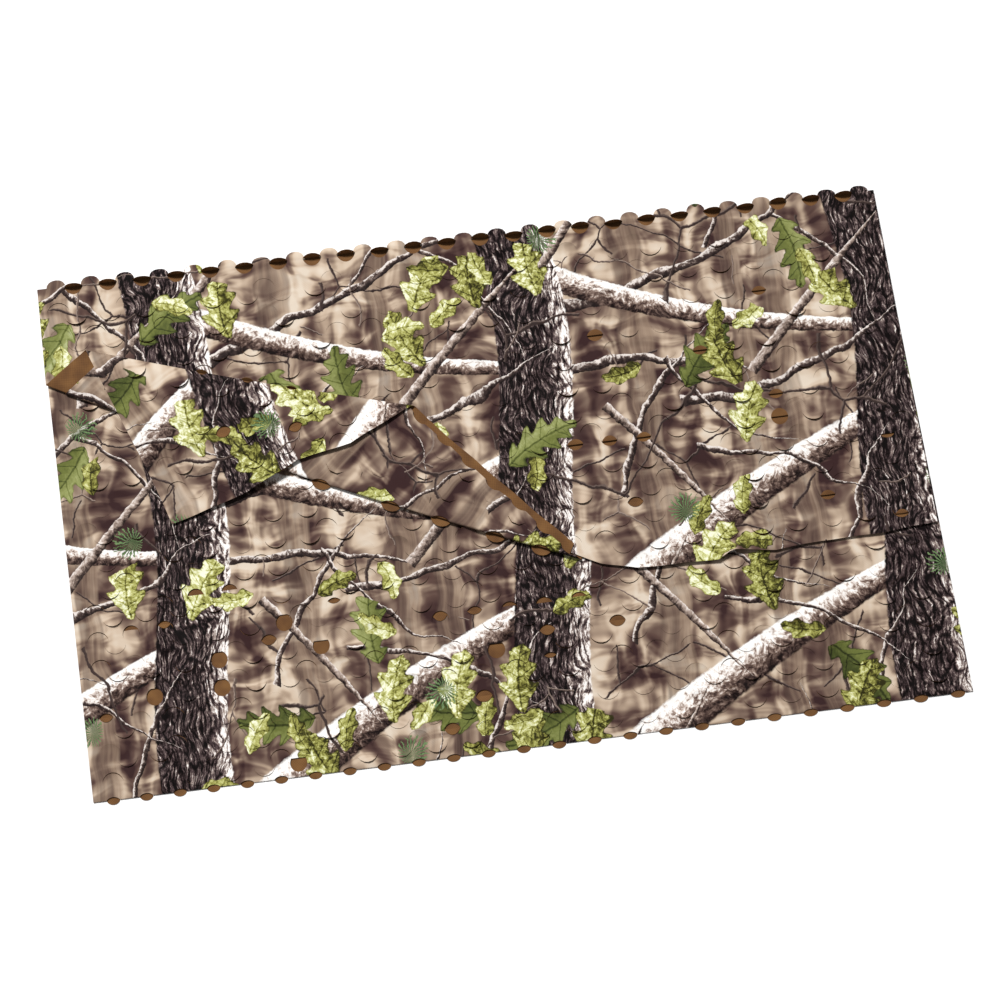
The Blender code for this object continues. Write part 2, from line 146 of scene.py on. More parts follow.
# A place on the flat sheet is u, across it from the left selvedge, and v, along it: less than zero
# on the front panel, 0 at the top fold, then down the back, up the base and down the inner panel.
WIDTH = 1.500           # across the sheet, selvedge to selvedge
PITCH = 0.0022          # from one layer's middle to the next one's
LOWEST = 0.0006         # middle of the lowest layer
LEFT_TOP, LEFT_BOTTOM = -0.7549, -0.7419
TOP_WIDTH, BOTTOM_WIDTH = 1.503, 1.497
TOP_Y, BOTTOM_LEFT_Y, BOTTOM_RIGHT_Y = 0.4564, -0.4406, -0.4566
BOTTOM_GATHER = 0.033   # how far the middle of the bottom fold is drawn to the left
FRONT_GATHER = 0.012    # the same for the front panel's free end
CORNER_LEAN = 0.018     # how far the turned corner's selvedge leans in
LEAN_FROM, LEAN_OVER, FRONT_DEPTH = 0.2, 0.4, 0.6       # below the top fold
FRONT_END = np.array((
    # u, length of the front panel below the top fold
    (0.000, 0.622), (0.100, 0.628), (0.150, 0.628), (0.200, 0.623), (0.250, 0.616), (0.300, 0.622),
    (0.350, 0.629), (0.400, 0.623), (0.450, 0.617), (0.520, 0.612), (0.760, 0.612), (0.862, 0.612),
    (0.869, 0.586), (0.922, 0.612), (0.980, 0.627), (1.120, 0.632), (1.145, 0.619), (1.220, 0.628),
    (1.300, 0.622), (1.400, 0.622), (1.500, 0.616),
))
INNER_END_SHORT = 0.015
COLUMN_PITCH = 0.060    # from one column of die cuts to the next
BITE_FROM, BITE_HALF, BITE_DEPTH = 0.020, 0.0145, 0.0058    # where a row of them bites the inner end
INNER_SLIDE = 0.035     # how far the inner layer's left edge has slid along the first crease
SLIDE_DEPTH = 0.150
BACK, BASE, INNER, FRONT = 0, 1, 2, 3
PLEAT_SUM = INNER + FRONT + 2       # a layer's number before and after a crease adds up to this
CORNER_SUM = PLEAT_SUM + 4
DRAPE_START, DRAPE_END = 0.010, 0.075       # past the first crease, where the corner comes down
DRAPE_DROP = 4          # in layers
WAVES = np.array((
    # height in the front layer, radians per metre in X and Y, angle, the same again across
    (0.0009, 5.2, 2.1, 0.6, -1.9, 6.4, 0.0),
    (0.0005, 17.0, -9.0, 1.9, 8.0, 15.0, 0.7),
    (0.0003, 41.0, 23.0, 0.2, -31.0, 44.0, 2.0),
))
SWELLS = (
    # place along the pleat's first crease, half length, height in the front layer
    (0.585, 0.028, 0.0022), (0.682, 0.032, 0.0034), (0.768, 0.022, 0.0024),
    (0.850, 0.036, 0.0036), (0.930, 0.026, 0.0022),
)
SWELL_REACH = 0.026
CURL, CURL_REACH = 0.0016, 0.055            # height of the cut ends' curl, and how far in it starts
CORNER_CURL = 0.0012                        # more of it at the left of the middle
SIDE_CURL, SIDE_CURL_REACH = 0.0004, 0.030  # the same for the selvedge
RAISED, RAISED_AT, RAISED_HALF, RAISED_REACH = 0.0065, 1.150, 0.028, 0.030  # where the end rises
FLUTE, FLUTE_REACH = 0.0014, 0.035          # height and reach of the flutes between the top tabs
LOOSE_FLUTE, LOOSE_REACH = 0.0006, 0.030    # more of both at the left, where the fold is looser
LOOSE_TO, LOOSE_OVER = 0.50, 0.30
FIRST_TAB = 0.033                           # u of the first of those tabs


def ease(t):
    """Ease from 0 to 1."""
    t = np.clip(t, 0.0, 1.0)
    return t * t * (3.0 - 2.0 * t)


class Crease:
    """A slanted fold line on the ground, slightly bowed towards the side it folds over."""

    def __init__(self, start, end, side, bow):
        self.start = np.array(start)
        span = np.array(end) - self.start
        self.length = np.hypot(*span)
        self.along = span / self.length
        self.out = np.array((self.along[1], -self.along[0])) * side
        self.bow = bow

    def bulge(self, run):
        """How far the line bows out at a place along it."""
        share = np.clip(run / self.length, 0.0, 1.0)
        return 4.0 * self.bow * share * (1.0 - share)

    def split(self, x, y):
        """Distance of a point along the crease, and past it."""
        x, y = x - self.start[0], y - self.start[1]
        run = x * self.along[0] + y * self.along[1]
        return run, x * self.out[0] + y * self.out[1] - self.bulge(run)

    def place(self, run, out):
        """The point at a distance along the crease and past it."""
        out = out + self.bulge(run)
        return (self.start[0] + self.along[0] * run + self.out[0] * out,
                self.start[1] + self.along[1] * run + self.out[1] * out)


TURN_UP = Crease((-0.7664, 0.2904), (0.1556, -0.1546), 1, 0.013)
TURN_DOWN = Crease((-0.7054, 0.3404), (-0.1324, 0.1604), -1, -0.005)


def layer_height(layer):
    """Height of the middle of a layer."""
    return LOWEST + layer * PITCH


def turn_radius(low, high):
    """Radius of the bend that joins two layers."""
    return (high - low) * PITCH / 2.0


def bend_length(low, high):
    """Cloth taken up by the bend that joins two layers."""
    return math.pi * turn_radius(low, high)


PANEL = TOP_Y - (BOTTOM_LEFT_Y + BOTTOM_RIGHT_Y) / 2.0
V_BACK = bend_length(BACK, FRONT)
V_BOTTOM = V_BACK + PANEL
V_BASE = V_BOTTOM + bend_length(BACK, BASE)
V_INNER_TOP = V_BASE + PANEL
V_INNER = V_INNER_TOP + bend_length(BASE, INNER)
STRAIGHT_FOLDS = (
    # fold, v where it starts and ends, layers it joins, 0 at the top or 1 at the bottom
    ("top", 0.0, V_BACK, BACK, FRONT, 0.0), ("bottom", V_BOTTOM, V_BASE, BACK, BASE, 1.0),
    ("inner_top", V_INNER_TOP, V_INNER, BASE, INNER, 0.0),
)


def front_end(u):
    """The v of the front panel's cut end, which is not quite straight."""
    flutter = 0.0012 * np.sin(41.0 * u + 1.0) * np.sin(23.0 * u)
    return -np.interp(u, FRONT_END[:, 0], FRONT_END[:, 1]) - flutter


def inner_end(u):
    """The v of the inner panel's cut end."""
    off = np.mod(u - BITE_FROM, COLUMN_PITCH) / BITE_HALF - COLUMN_PITCH / (2.0 * BITE_HALF)
    bite = BITE_DEPTH * np.sqrt(np.clip(1.0 - off * off, 0.0, 1.0))
    return V_INNER - front_end(u) - INNER_END_SHORT + 0.0015 * np.sin(37.0 * u) - bite


def front_shift(u, depth):
    """Sideways drift of the front panel, with depth from the top fold."""
    share = u / WIDTH
    lean = CORNER_LEAN * np.clip(1.0 - 2.0 * share, 0.0, 1.0) ** 2
    lean = lean * ease((depth - LEAN_FROM) / LEAN_OVER)
    return lean - FRONT_GATHER * 4.0 * share * (1.0 - share) * depth / FRONT_DEPTH


def ground_x(u, down):
    """X of the back and base panels, with down from 0 at the top fold to 1 at the bottom fold."""
    top = LEFT_TOP + u * TOP_WIDTH / WIDTH
    share = u / WIDTH
    bottom = LEFT_BOTTOM + u * BOTTOM_WIDTH / WIDTH - BOTTOM_GATHER * 4.0 * share * (1.0 - share)
    return top + (bottom - top) * down


def bottom_y(u):
    """Y of the bottom fold."""
    return BOTTOM_LEFT_Y + (BOTTOM_RIGHT_Y - BOTTOM_LEFT_Y) * u / WIDTH


def bend(distance, radius):
    """Place a point past a fold's edge: how far out it lies, and its angle round the bend."""
    angle = np.clip(distance / radius, 0.0, math.pi)
    out = np.where(angle < math.pi, np.minimum(distance, 0.0) + radius * np.sin(angle),
                   math.pi * radius - distance)
    return out, angle


def bend_height(low, high, angle):
    """Height at an angle round the bend that rises from one layer to the other."""
    return (layer_height(low) + layer_height(high)) / 2.0 - turn_radius(low, high) * np.cos(angle)


def pleat(x, y, layer):
    """Fold points of the front or inner layer about the pleat's two creases."""
    turned_up = PLEAT_SUM - layer
    turned_down = CORNER_SUM - turned_up
    run, out = TURN_UP.split(x, y)
    out, angle = bend(out, turn_radius(layer, turned_up))
    x, y = TURN_UP.place(run, out)
    height = bend_height(layer, turned_up, angle)
    up = angle >= math.pi
    run, out = TURN_DOWN.split(x, y)
    out, angle = bend(out, turn_radius(turned_up, turned_down))
    down_x, down_y = TURN_DOWN.place(run, out)
    x, y = np.where(up, down_x, x), np.where(up, down_y, y)
    high = bend_height(turned_up, turned_down, angle)
    _, past = TURN_UP.split(x, y)
    high = high - DRAPE_DROP * PITCH * ease((past - DRAPE_START) / (DRAPE_END - DRAPE_START))
    return x, y, np.where(up, high, height)


def slide(u, depth):
    """Slip of the inner layer along the pleat's first crease."""
    return INNER_SLIDE * (1.0 - u / WIDTH) * ease(depth / SLIDE_DEPTH)


def edge_lift(u, v):
    """How far the free ends and selvedges curl up from the layer below."""
    end = np.where(v < 0.0, v - front_end(u), inner_end(u) - v)
    amount = CURL + 0.0012 * np.sin(7.0 * u + 0.4) + 0.0007 * np.sin(19.0 * u)
    corner = CORNER_CURL * ease((0.52 - u) / 0.15) * ease((u - 0.03) / 0.20)
    amount = amount * ease((u + 0.05) / 0.20)
    raised = RAISED * np.exp(-((u - RAISED_AT) / RAISED_HALF) ** 2) * (v < 0.0)
    curl = np.clip(1.0 - end / CURL_REACH, 0.0, 1.0) ** 2 * (amount + corner)
    curl += np.clip(1.0 - end / RAISED_REACH, 0.0, 1.0) ** 2 * raised
    side = np.clip(1.0 - u / SIDE_CURL_REACH, 0.0, 1.0) ** 2 * SIDE_CURL * (np.abs(v) < 1.0)
    return np.where((v < 0.0) | (v > V_INNER), curl + side, 0.0)


def unpleated(u, v, layer):
    """X and Y of a point of the front or inner panel before the pleat is folded."""
    if layer == FRONT:
        return ground_x(u, 0.0) + front_shift(u, -v), TOP_Y + v
    slip = slide(u, v - V_INNER)
    return ground_x(u, 0.0) + TURN_UP.along[0] * slip, TOP_Y - (v - V_INNER) + TURN_UP.along[1] * slip


def lay(u, v):
    """Place points of the sheet's middle in the folded bundle."""
    u, v = np.broadcast_arrays(np.asarray(u, float), np.asarray(v, float))
    x, y, z = np.empty(u.shape), np.empty(u.shape), np.empty(u.shape)
    # The two pleated panels, the top, bottom and inner folds, and the two panels below
    for layer, pick in ((FRONT, v < 0.0), (INNER, v >= V_INNER)):
        x[pick], y[pick], z[pick] = pleat(*unpleated(u[pick], v[pick], layer), layer)
    for _, start, end, low, high, down in STRAIGHT_FOLDS:
        pick = (v >= start) & (v < end)
        radius = turn_radius(low, high)
        angle = (v[pick] - start) / radius
        out = radius * np.sin(angle)
        x[pick], y[pick] = ground_x(u[pick], down), bottom_y(u[pick]) - out if down else TOP_Y + out
        z[pick] = bend_height(low, high, math.pi - angle if high == FRONT else angle)
    for low, high, layer in ((V_BACK, V_BOTTOM, BACK), (V_BASE, V_INNER_TOP, BASE)):
        pick = (v >= low) & (v < high)
        down = (v[pick] - low) / PANEL
        down = down if layer == BACK else 1.0 - down
        x[pick], y[pick] = ground_x(u[pick], down), TOP_Y + (bottom_y(u[pick]) - TOP_Y) * down
        z[pick] = layer_height(layer)
    # Slow waves, swells along the pleat, curled edges, and flutes between the top fold's tabs
    rise = np.zeros(u.shape)
    for height, ax, ay, a, bx, by, b in WAVES:
        rise += height * (1.0 + np.sin(ax * x + ay * y + a) * np.cos(bx * x + by * y + b))
    run, out = TURN_UP.split(x, y)
    swell = sum(high * np.exp(-((run - at) / half) ** 2) for at, half, high in SWELLS)
    swell = swell * np.exp(-(out / SWELL_REACH) ** 2)
    above = np.maximum(z - layer_height(BASE), 0.0) / (layer_height(FRONT) - layer_height(BASE))
    z = z + rise * (z - layer_height(BACK)) / layer_height(FRONT) + swell * above + edge_lift(u, v)
    loose = ease((LOOSE_TO - u) / LOOSE_OVER)
    flute = np.cos(2.0 * math.pi * (u - FIRST_TAB) / COLUMN_PITCH)
    flute = flute * np.exp(-np.abs(v) / (FLUTE_REACH + LOOSE_REACH * loose))
    z = z + np.where(v < 0.0, (FLUTE + LOOSE_FLUTE * loose) * flute, 0.0)
    return np.stack((x, y, z), axis=-1)


# --------------------------------------------------- the net: its die cuts
# Round flaps are punched through the cloth in offset rows, each left hanging by a short hinge:
# cups are hinged above their tip and caps below it. Where a flap straddles a fold it stays straight
# and stands proud as a tab. A few flaps are turned over or tucked under, and show brown.

FLAP_RADIUS = 0.0200
FLAP_SWEEP = math.radians(80.0)     # half the angle of a flap's round edge
FLAP_LENGTH = FLAP_RADIUS * (1.0 - math.cos(FLAP_SWEEP))
ROW_PITCH = 0.048
SLIT = 0.0006                       # width of the cut round a tab
PANEL_ROWS = (
    # panel, from v, to v, first u and v of the tips of cups, and of caps, tilt, steps a flap
    ("front", -0.70, -0.012, (0.063, -0.4078), (0.033, -0.4110), 0.0, 8),
    ("back", V_BACK, V_BOTTOM, (0.063, V_BACK + 0.0492), (0.033, V_BACK + 0.0436), 0.0, 5),
    ("base", V_BASE, V_INNER_TOP, (0.069, V_INNER_TOP - 0.6595), (0.039, V_INNER_TOP - 0.6652),
     0.0127, 8),
    ("inner", V_INNER, V_INNER + 0.70, (0.063, V_INNER + 0.0402), (0.033, V_INNER + 0.0346), 0.0, 4),
)
OPEN_RADIUS = 0.0150
OPEN_LENGTH = 0.0200                # at the least
OPEN_SHIFT = 0.004                  # how far up an open cap lies
OPEN_FLAPS = (
    # panel, kind, row below the first, each column with an open flap and the length in mm that
    # is turned over, less than zero where it is tucked under
    ("front", "cup", -5, ((20, 8.6),)), ("front", "cup", -4, ((15, 11.2),)),
    ("front", "cup", -3, ((18, 8.6),)), ("front", "cup", -1, ((20, 8.6),)),
    ("front", "cup", 0, ((14, 10.4), (15, 9.5), (16, 8.7), (20, 15.2))),
    ("front", "cup", 1, ((23, -8.0),)), ("front", "cup", 3, ((21, 8.6),)),
    ("front", "cup", 4, ((23, 6.9),)), ("front", "cap", 2, ((2, 10.8), (16, 9.5))),
    ("front", "cap", 3, ((4, 9.0),)),
    ("base", "cup", 0, ((5, -29.0),)), ("base", "cup", 1, ((3, -28.6), (6, -24.0))),
    ("base", "cup", 2, ((1, -29.4), (3, -29.3), (11, -26.0))), ("base", "cup", 5, ((5, -24.0),)),
    ("base", "cap", -2, ((3, -12.0), (4, -11.0))),
    ("base", "cap", -1, ((1, -8.5), (2, 6.4), (7, 5.6))),
    ("base", "cap", 0, ((5, 9.5), (10, 8.6), (11, 7.8), (12, -8.5), (13, -11.0), (14, -8.5))),
    ("base", "cap", 1, ((13, 9.5), (15, 10.4))), ("base", "cap", 2, ((0, 7.8), (13, 5.2),)),
    ("base", "cap", 3, ((11, 11.0),)), ("base", "cap", 4, ((10, 10.4),)),
)
FOLD_TABS = (
    # fold, side they belong to, places along it, half width, length of the bite and of the tab,
    # least and most tilt, droop
    ("top", "near", [FIRST_TAB + COLUMN_PITCH * i for i in range(25)],
     0.0170, 0.0165, 0.0170, 0.00, 0.30, 0.45),
    ("top", "far", [0.063 + COLUMN_PITCH * i for i in range(24)],
     0.0178, 0.0235, 0.0225, 1.36, 1.62, 0.0),
    ("bottom", "near", [0.036 + COLUMN_PITCH * i for i in range(25)],
     0.0122, 0.0068, 0.0086, -0.05, 0.10, 0.0),
    ("turn_up", "near", [0.522, 0.648, 0.738, 0.836, 0.918], 0.0180, 0.0115, 0.0150, 0.00, 0.12, 0.0),
    ("turn_down", "near", [0.232, 0.312, 0.390], 0.0125, 0.0115, 0.0125, 0.95, 1.25, 0.0),
)
ARC_STEPS = 4                       # round the bend of a fold
RUN_LIMITS = (-0.20, 0.60, 1.20)    # along a crease: before it, on it and past it
EDGE = 1e-5                         # triangles whose middle is nearer an edge than this are slivers
CLEAR = 0.0040                      # between a flap and an edge of the cloth


def sheet_point(x, y, layer):
    """Sheet coordinates of a point of the unpleated front or inner layer."""
    per_u = TOP_WIDTH / WIDTH
    depth = TOP_Y - y
    u = (x - LEFT_TOP) / per_u
    for _ in range(12):
        if layer == FRONT:
            u = (x - front_shift(u, depth) - LEFT_TOP) / per_u
        else:
            slip = slide(u, depth)
            depth = TOP_Y - y + TURN_UP.along[1] * slip
            u = (x - TURN_UP.along[0] * slip - LEFT_TOP) / per_u
    return u, (-depth if layer == FRONT else V_INNER + depth)


def crease_length(name, layer):
    """Cloth of a layer that is taken up by the bend at one of the pleat's creases."""
    turned_up = PLEAT_SUM - layer
    if name == "turn_up":
        return bend_length(layer, turned_up)
    return bend_length(turned_up, CORNER_SUM - turned_up)


def slanted_point(name, layer, distance, run):
    """Sheet point at a distance past one of the pleat's creases."""
    if name == "turn_up":
        return sheet_point(*TURN_UP.place(run, distance), layer)
    run, out = TURN_UP.split(*TURN_DOWN.place(run, distance))
    return sheet_point(*TURN_UP.place(run, crease_length("turn_up", layer) - out), layer)


def halve(test, low, high):
    """Where a test that holds at the low end first fails."""
    for _ in range(40):
        middle = (low + high) / 2.0
        low, high = (middle, high) if test(middle) else (low, middle)
    return low


def slanted_runs(name, layer, distance):
    """Where a crease enters at the selvedge and leaves at the cut end."""
    def on_panel(run):
        u, v = slanted_point(name, layer, distance, run)
        return v > front_end(u) if layer == FRONT else v < inner_end(u)

    low, middle, high = RUN_LIMITS
    first = halve(lambda run: slanted_point(name, layer, distance, run)[0] < 0.0, low, middle)
    return first, halve(on_panel, first, high)


plan_points, plan_edges, plan_marks = [], [], []    # marks: flap number of a slit's points


def add_line(line, marks=None):
    """Keep a chain of points as edges of the flat plan."""
    first = len(plan_points)
    plan_points.extend((float(u), float(v)) for u, v in line)
    plan_marks.extend(marks or [0] * len(line))
    plan_edges.extend((first + i, first + i + 1) for i in range(len(line) - 1))


def half_width(half, length, away):
    """Half the width of a rounded tab at a distance from its hinge."""
    return half * math.sqrt(max(1.0 - (away / length) ** 2, 0.0))


holes, tabs = [], []


def add_bend(name, point, length, ends, with_tabs):
    """Lines round one bend, with a bite and a tab wherever a flap stands straight on.

    The sheet point comes from the distance round the bend and the place along it, and the places
    where it ends from the distance round it.
    """
    levels = [length * step / ARC_STEPS for step in range(ARC_STEPS + 1)]
    found = []
    for fold, side, runs, half, reach, tab_length, *tilts in FOLD_TABS:
        if fold == name and with_tabs:
            hinge, outward = (0.0, 1) if side == "near" else (length, -1)
            found.extend((run, hinge, outward, half, reach, (tab_length, *tilts)) for run in runs)
    for level in levels:
        low, high = ends(level)
        runs = [low, high]
        runs += [low + (high - low) * step / 24 for step in range(1, 24)] if not found else []
        for run, hinge, _, half, reach, _ in found:
            wide = half_width(half + SLIT, reach + SLIT, level - hinge)
            runs += [run - wide, run + wide]
            if level == hinge:
                runs += [run - half, run + half]
        add_line([point(level, run) for run in sorted(runs)])
    for run, hinge, outward, half, reach, (tab_length, *tilts) in found:
        wide, deep = half + SLIT, reach + SLIT
        near_first = sorted(levels, key=lambda level: (level - hinge) * outward)
        right = [point(at, run + half_width(wide, deep, at - hinge)) for at in near_first]
        left = [point(at, run - half_width(wide, deep, at - hinge)) for at in near_first]
        first = math.asin(abs(near_first[-1] - hinge) / deep)
        turns = [first + (math.pi - 2.0 * first) * step / 8 for step in range(1, 8)]
        far_end = [point(hinge + outward * deep * math.sin(turn), run + wide * math.cos(turn))
                   for turn in turns]
        chord = (point(hinge, run + half), point(hinge, run - half))
        outline = right + far_end + left[::-1] + [chord[1], chord[0]]
        add_line(outline + outline[:1])
        holes.append(np.array(outline))
        tip = point(hinge + outward * tab_length, run)
        tabs.append((point(hinge, run), tip, chord, tab_length, tilts))


for name, start, end, *_ in STRAIGHT_FOLDS:
    add_bend(name, lambda level, run, start=start: (run, start + level), end - start,
             lambda level: (0.0, WIDTH), True)
for name, outer in (("turn_up", INNER), ("turn_down", FRONT)):
    for layer in (FRONT, INNER):
        add_bend(name, functools.partial(slanted_point, name, layer), crease_length(name, layer),
                 functools.partial(slanted_runs, name, layer), layer == outer)

# The sheet's cut ends and selvedges
for end, steps in ((front_end, 150), (inner_end, 400)):
    add_line([(u, end(u)) for u in np.linspace(0.0, WIDTH, steps + 1)])
for u in (0.0, WIDTH):
    add_line([(u, v) for v in np.linspace(front_end(u), inner_end(u), 110)])


def clear_of_pleat(u, v, layer):
    """True where a flap keeps clear of the pleat's bends."""
    run, out = TURN_UP.split(*unpleated(u, v, layer))
    length = crease_length("turn_up", layer)
    if out < -FLAP_RADIUS:
        return True
    if out < length + FLAP_RADIUS:
        return False
    run, out = TURN_DOWN.split(*TURN_UP.place(run, length - out))
    return out < -FLAP_RADIUS or out > crease_length("turn_down", layer) + FLAP_RADIUS


# Each flap: the u and v of its tip, the side its tip lies on, the length turned over from its
# tip (less than zero where it is tucked under), its radius and its whole length
FOLD_ROUND = 0.0004                 # radius of an open flap's own fold
open_flaps = {(panel, kind, row, column): share / 1000.0
              for panel, kind, row, found in OPEN_FLAPS for column, share in found}
flaps = [(0.0, 0.0, 1.0, 0.0, FLAP_RADIUS, FLAP_LENGTH)]
for panel, low, high, cups, caps, tilt, steps in PANEL_ROWS:
    for kind, (first_u, first_v) in (("cup", cups), ("cap", caps)):
        side = 1.0 if kind == "cap" else -1.0
        for row in range(-20, 21):
            for column in range(25):
                u = first_u + column * COLUMN_PITCH
                v = first_v - row * ROW_PITCH + tilt * (u - 0.25)
                v_hinge = v - side * FLAP_LENGTH
                if not FLAP_RADIUS + CLEAR < u < WIDTH - FLAP_RADIUS - CLEAR:
                    continue
                lowest = max(low, float(front_end(u))) + CLEAR
                highest = min(high, float(inner_end(u))) - CLEAR
                if min(v, v_hinge) < lowest or max(v, v_hinge) > highest:
                    continue
                if panel in ("front", "inner"):
                    middle_v = (v + v_hinge) / 2.0
                    if not clear_of_pleat(u, middle_v, FRONT if panel == "front" else INNER):
                        continue
                radius, sweep, length, steps_here = FLAP_RADIUS, FLAP_SWEEP, FLAP_LENGTH, steps
                turned = open_flaps.get((panel, kind, row, column), 0.0)
                angles, chords = set(), [FLAP_LENGTH]
                if turned:
                    radius, steps_here = OPEN_RADIUS, 16
                    length = max(OPEN_LENGTH, abs(turned) + SLIT)
                    sweep = math.acos(1.0 - length / radius)
                    v += OPEN_SHIFT * (side > 0.0)
                    folds = [abs(turned) - FOLD_ROUND * math.pi * step / 4 for step in range(5)]
                    chords = [length] + folds
                    angles = {way * math.acos(1.0 - at / radius) for at in folds for way in (-1, 1)}
                number = len(flaps)
                flaps.append((u, v, side, turned, radius, length))
                angles |= set(np.linspace(-sweep, sweep, steps_here + 1))
                for back in chords:
                    angle = sweep if back == length else math.acos(1.0 - back / radius)
                    half = radius * math.sin(angle)
                    add_line([(at, v - side * back) for at in (u - half, u, u + half)])
                arc = [(u + radius * math.sin(a), v - side * radius * (1.0 - math.cos(a)))
                       for a in sorted(angles)]
                add_line(arc, [-number] + [number] * (len(arc) - 2) + [-number])
                if steps > 5 and not turned:
                    # One more point inside, so that a flap that shows can curl
                    add_line([(u, v - side * 0.45 * length)])
flaps = np.array(flaps)

# The plan is cut into triangles, and those off the sheet or in a tab's bite are dropped
flat, _, triangles, origins, _, _ = delaunay_2d_cdt(
    [Vector(p) for p in plan_points], plan_edges, [], 0, 2e-6)
flat = np.array([tuple(p) for p in flat])
triangles = np.array([tuple(t) for t in triangles])
marks = np.array([max((plan_marks[i] for i in source), default=0) for source in origins])

middle = flat[triangles].mean(axis=1)
at_u, at_v = middle.T
kept = (at_v > front_end(at_u) + EDGE) & (at_v < inner_end(at_u) - EDGE)
kept &= (at_u > EDGE) & (at_u < WIDTH - EDGE)
for outline in holes:
    near = np.nonzero((np.abs(middle - outline.mean(axis=0)) < 0.03).all(axis=1))[0]
    a, b = outline, np.roll(outline, -1, axis=0)
    px, py = middle[near, 0][:, None], middle[near, 1][:, None]
    crossed = ((a[:, 1] > py) != (b[:, 1] > py)) & (
        px < a[:, 0] + (py - a[:, 1]) * (b[:, 0] - a[:, 0]) / (b[:, 1] - a[:, 1] + 1e-18))
    kept[near[crossed.sum(axis=1) % 2 == 1]] = False
triangles, middle = triangles[kept], middle[kept]

# The flap that a triangle belongs to, from a grid of the flaps' middles
CELL = 0.030                        # wider than half a flap
cell = {}
for number, (u, v, side, _, _, length) in enumerate(flaps[1:], 1):
    v -= side * length / 2.0
    for du in (-1, 0, 1):
        for dv in (-1, 0, 1):
            cell.setdefault((int(u // CELL) + du, int(v // CELL) + dv), []).append(number)
owner = np.zeros(len(triangles), int)
for i, (u, v) in enumerate(middle):
    for number in cell.get((int(u // CELL), int(v // CELL)), ()):
        tip_u, tip_v, side, _, radius, length = flaps[number]
        back = (tip_v - v) * side
        if back < length and (u - tip_u) ** 2 + (back - radius) ** 2 < radius ** 2:
            owner[i] = number
            break

# Each slit is opened: the flap's own triangles get their own copy of the slit's points
count = len(flat)
copied, sources = {}, []
for i in np.nonzero(owner)[0]:
    for corner in range(3):
        point = triangles[i, corner]
        if marks[point] == owner[i]:
            if point not in copied:
                copied[point] = count + len(sources)
                sources.append(point)
            triangles[i, corner] = copied[point]
flat = np.concatenate((flat, flat[sources]))
flap_of = np.zeros(len(flat), int)
for corner in range(3):
    flap_of[triangles[:, corner]] = np.maximum(flap_of[triangles[:, corner]], owner)
on_hinge = np.zeros(len(flat), bool)
on_hinge[np.unique(triangles[owner == 0])] = True
flap_of[on_hinge] = 0
tip_u, tip_v, flap_side, turned, radius, length = flaps[flap_of].T
back = (tip_v - flat[:, 1]) * flap_side
reach = np.where(flap_of > 0, 1.0 - back / length, 0.0)
slit_edge = np.arange(len(flat)) >= count
cloth_uv = flat.copy()

# Each slit gapes a little at its tip, most of them too little to see
GAPES, GAPE_SHARES = (0.00012, 0.00080, 0.0017), (0.48, 0.32, 0.20)
gape_rng = np.random.default_rng(11)
gape = gape_rng.choice(GAPES, size=len(flaps), p=GAPE_SHARES)
gape[((flaps[:, 1] > 0.0) & (flaps[:, 1] < V_BOTTOM)) | (flaps[:, 1] > V_INNER)] = GAPES[0]
pull = np.where(slit_edge, gape[flap_of] * (0.15 + 0.85 * reach), 0.0)
away = np.stack((flat[:, 0] - tip_u, (radius - back) * flap_side), axis=1)
away /= np.maximum(np.hypot(away[:, 0], away[:, 1]), 1e-9)[:, None]
flat = flat - away * pull[:, None]

# Turned flaps fold over a line across them, and lie back on the cloth or are tucked under it
RESTS_ON, RESTS_FROM = 0.0005, 0.003        # height above the cloth, and how far past the line
over = np.where((flap_of > 0) & (turned != 0.0), np.abs(turned) - back, -1.0)
out, angle = bend(np.maximum(over, 0.0), FOLD_ROUND)
flipped = over > 0.0
laid = flat.copy()
laid[:, 1] = np.where(flipped, flat[:, 1] - flap_side * (over - out), flat[:, 1])
flip_height = np.where(flipped, FOLD_ROUND * (1.0 - np.cos(angle)) * np.sign(turned), 0.0)
rest = RESTS_ON * np.clip(over / RESTS_FROM, 0.0, 1.0)
flip_height += np.where(flipped & (turned > 0.0), rest, 0.0)

# The sheet is laid in its folds, and turned flaps are raised off it or lowered under it
NUDGE = 1e-5
points = lay(laid[:, 0], laid[:, 1])
along_u = lay(laid[:, 0] + NUDGE, laid[:, 1]) - lay(laid[:, 0] - NUDGE, laid[:, 1])
along_v = lay(laid[:, 0], laid[:, 1] + NUDGE) - lay(laid[:, 0], laid[:, 1] - NUDGE)
facing = np.cross(along_u, along_v)
facing /= np.maximum(np.linalg.norm(facing, axis=1), 1e-12)[:, None]
points += facing * flip_height[:, None]

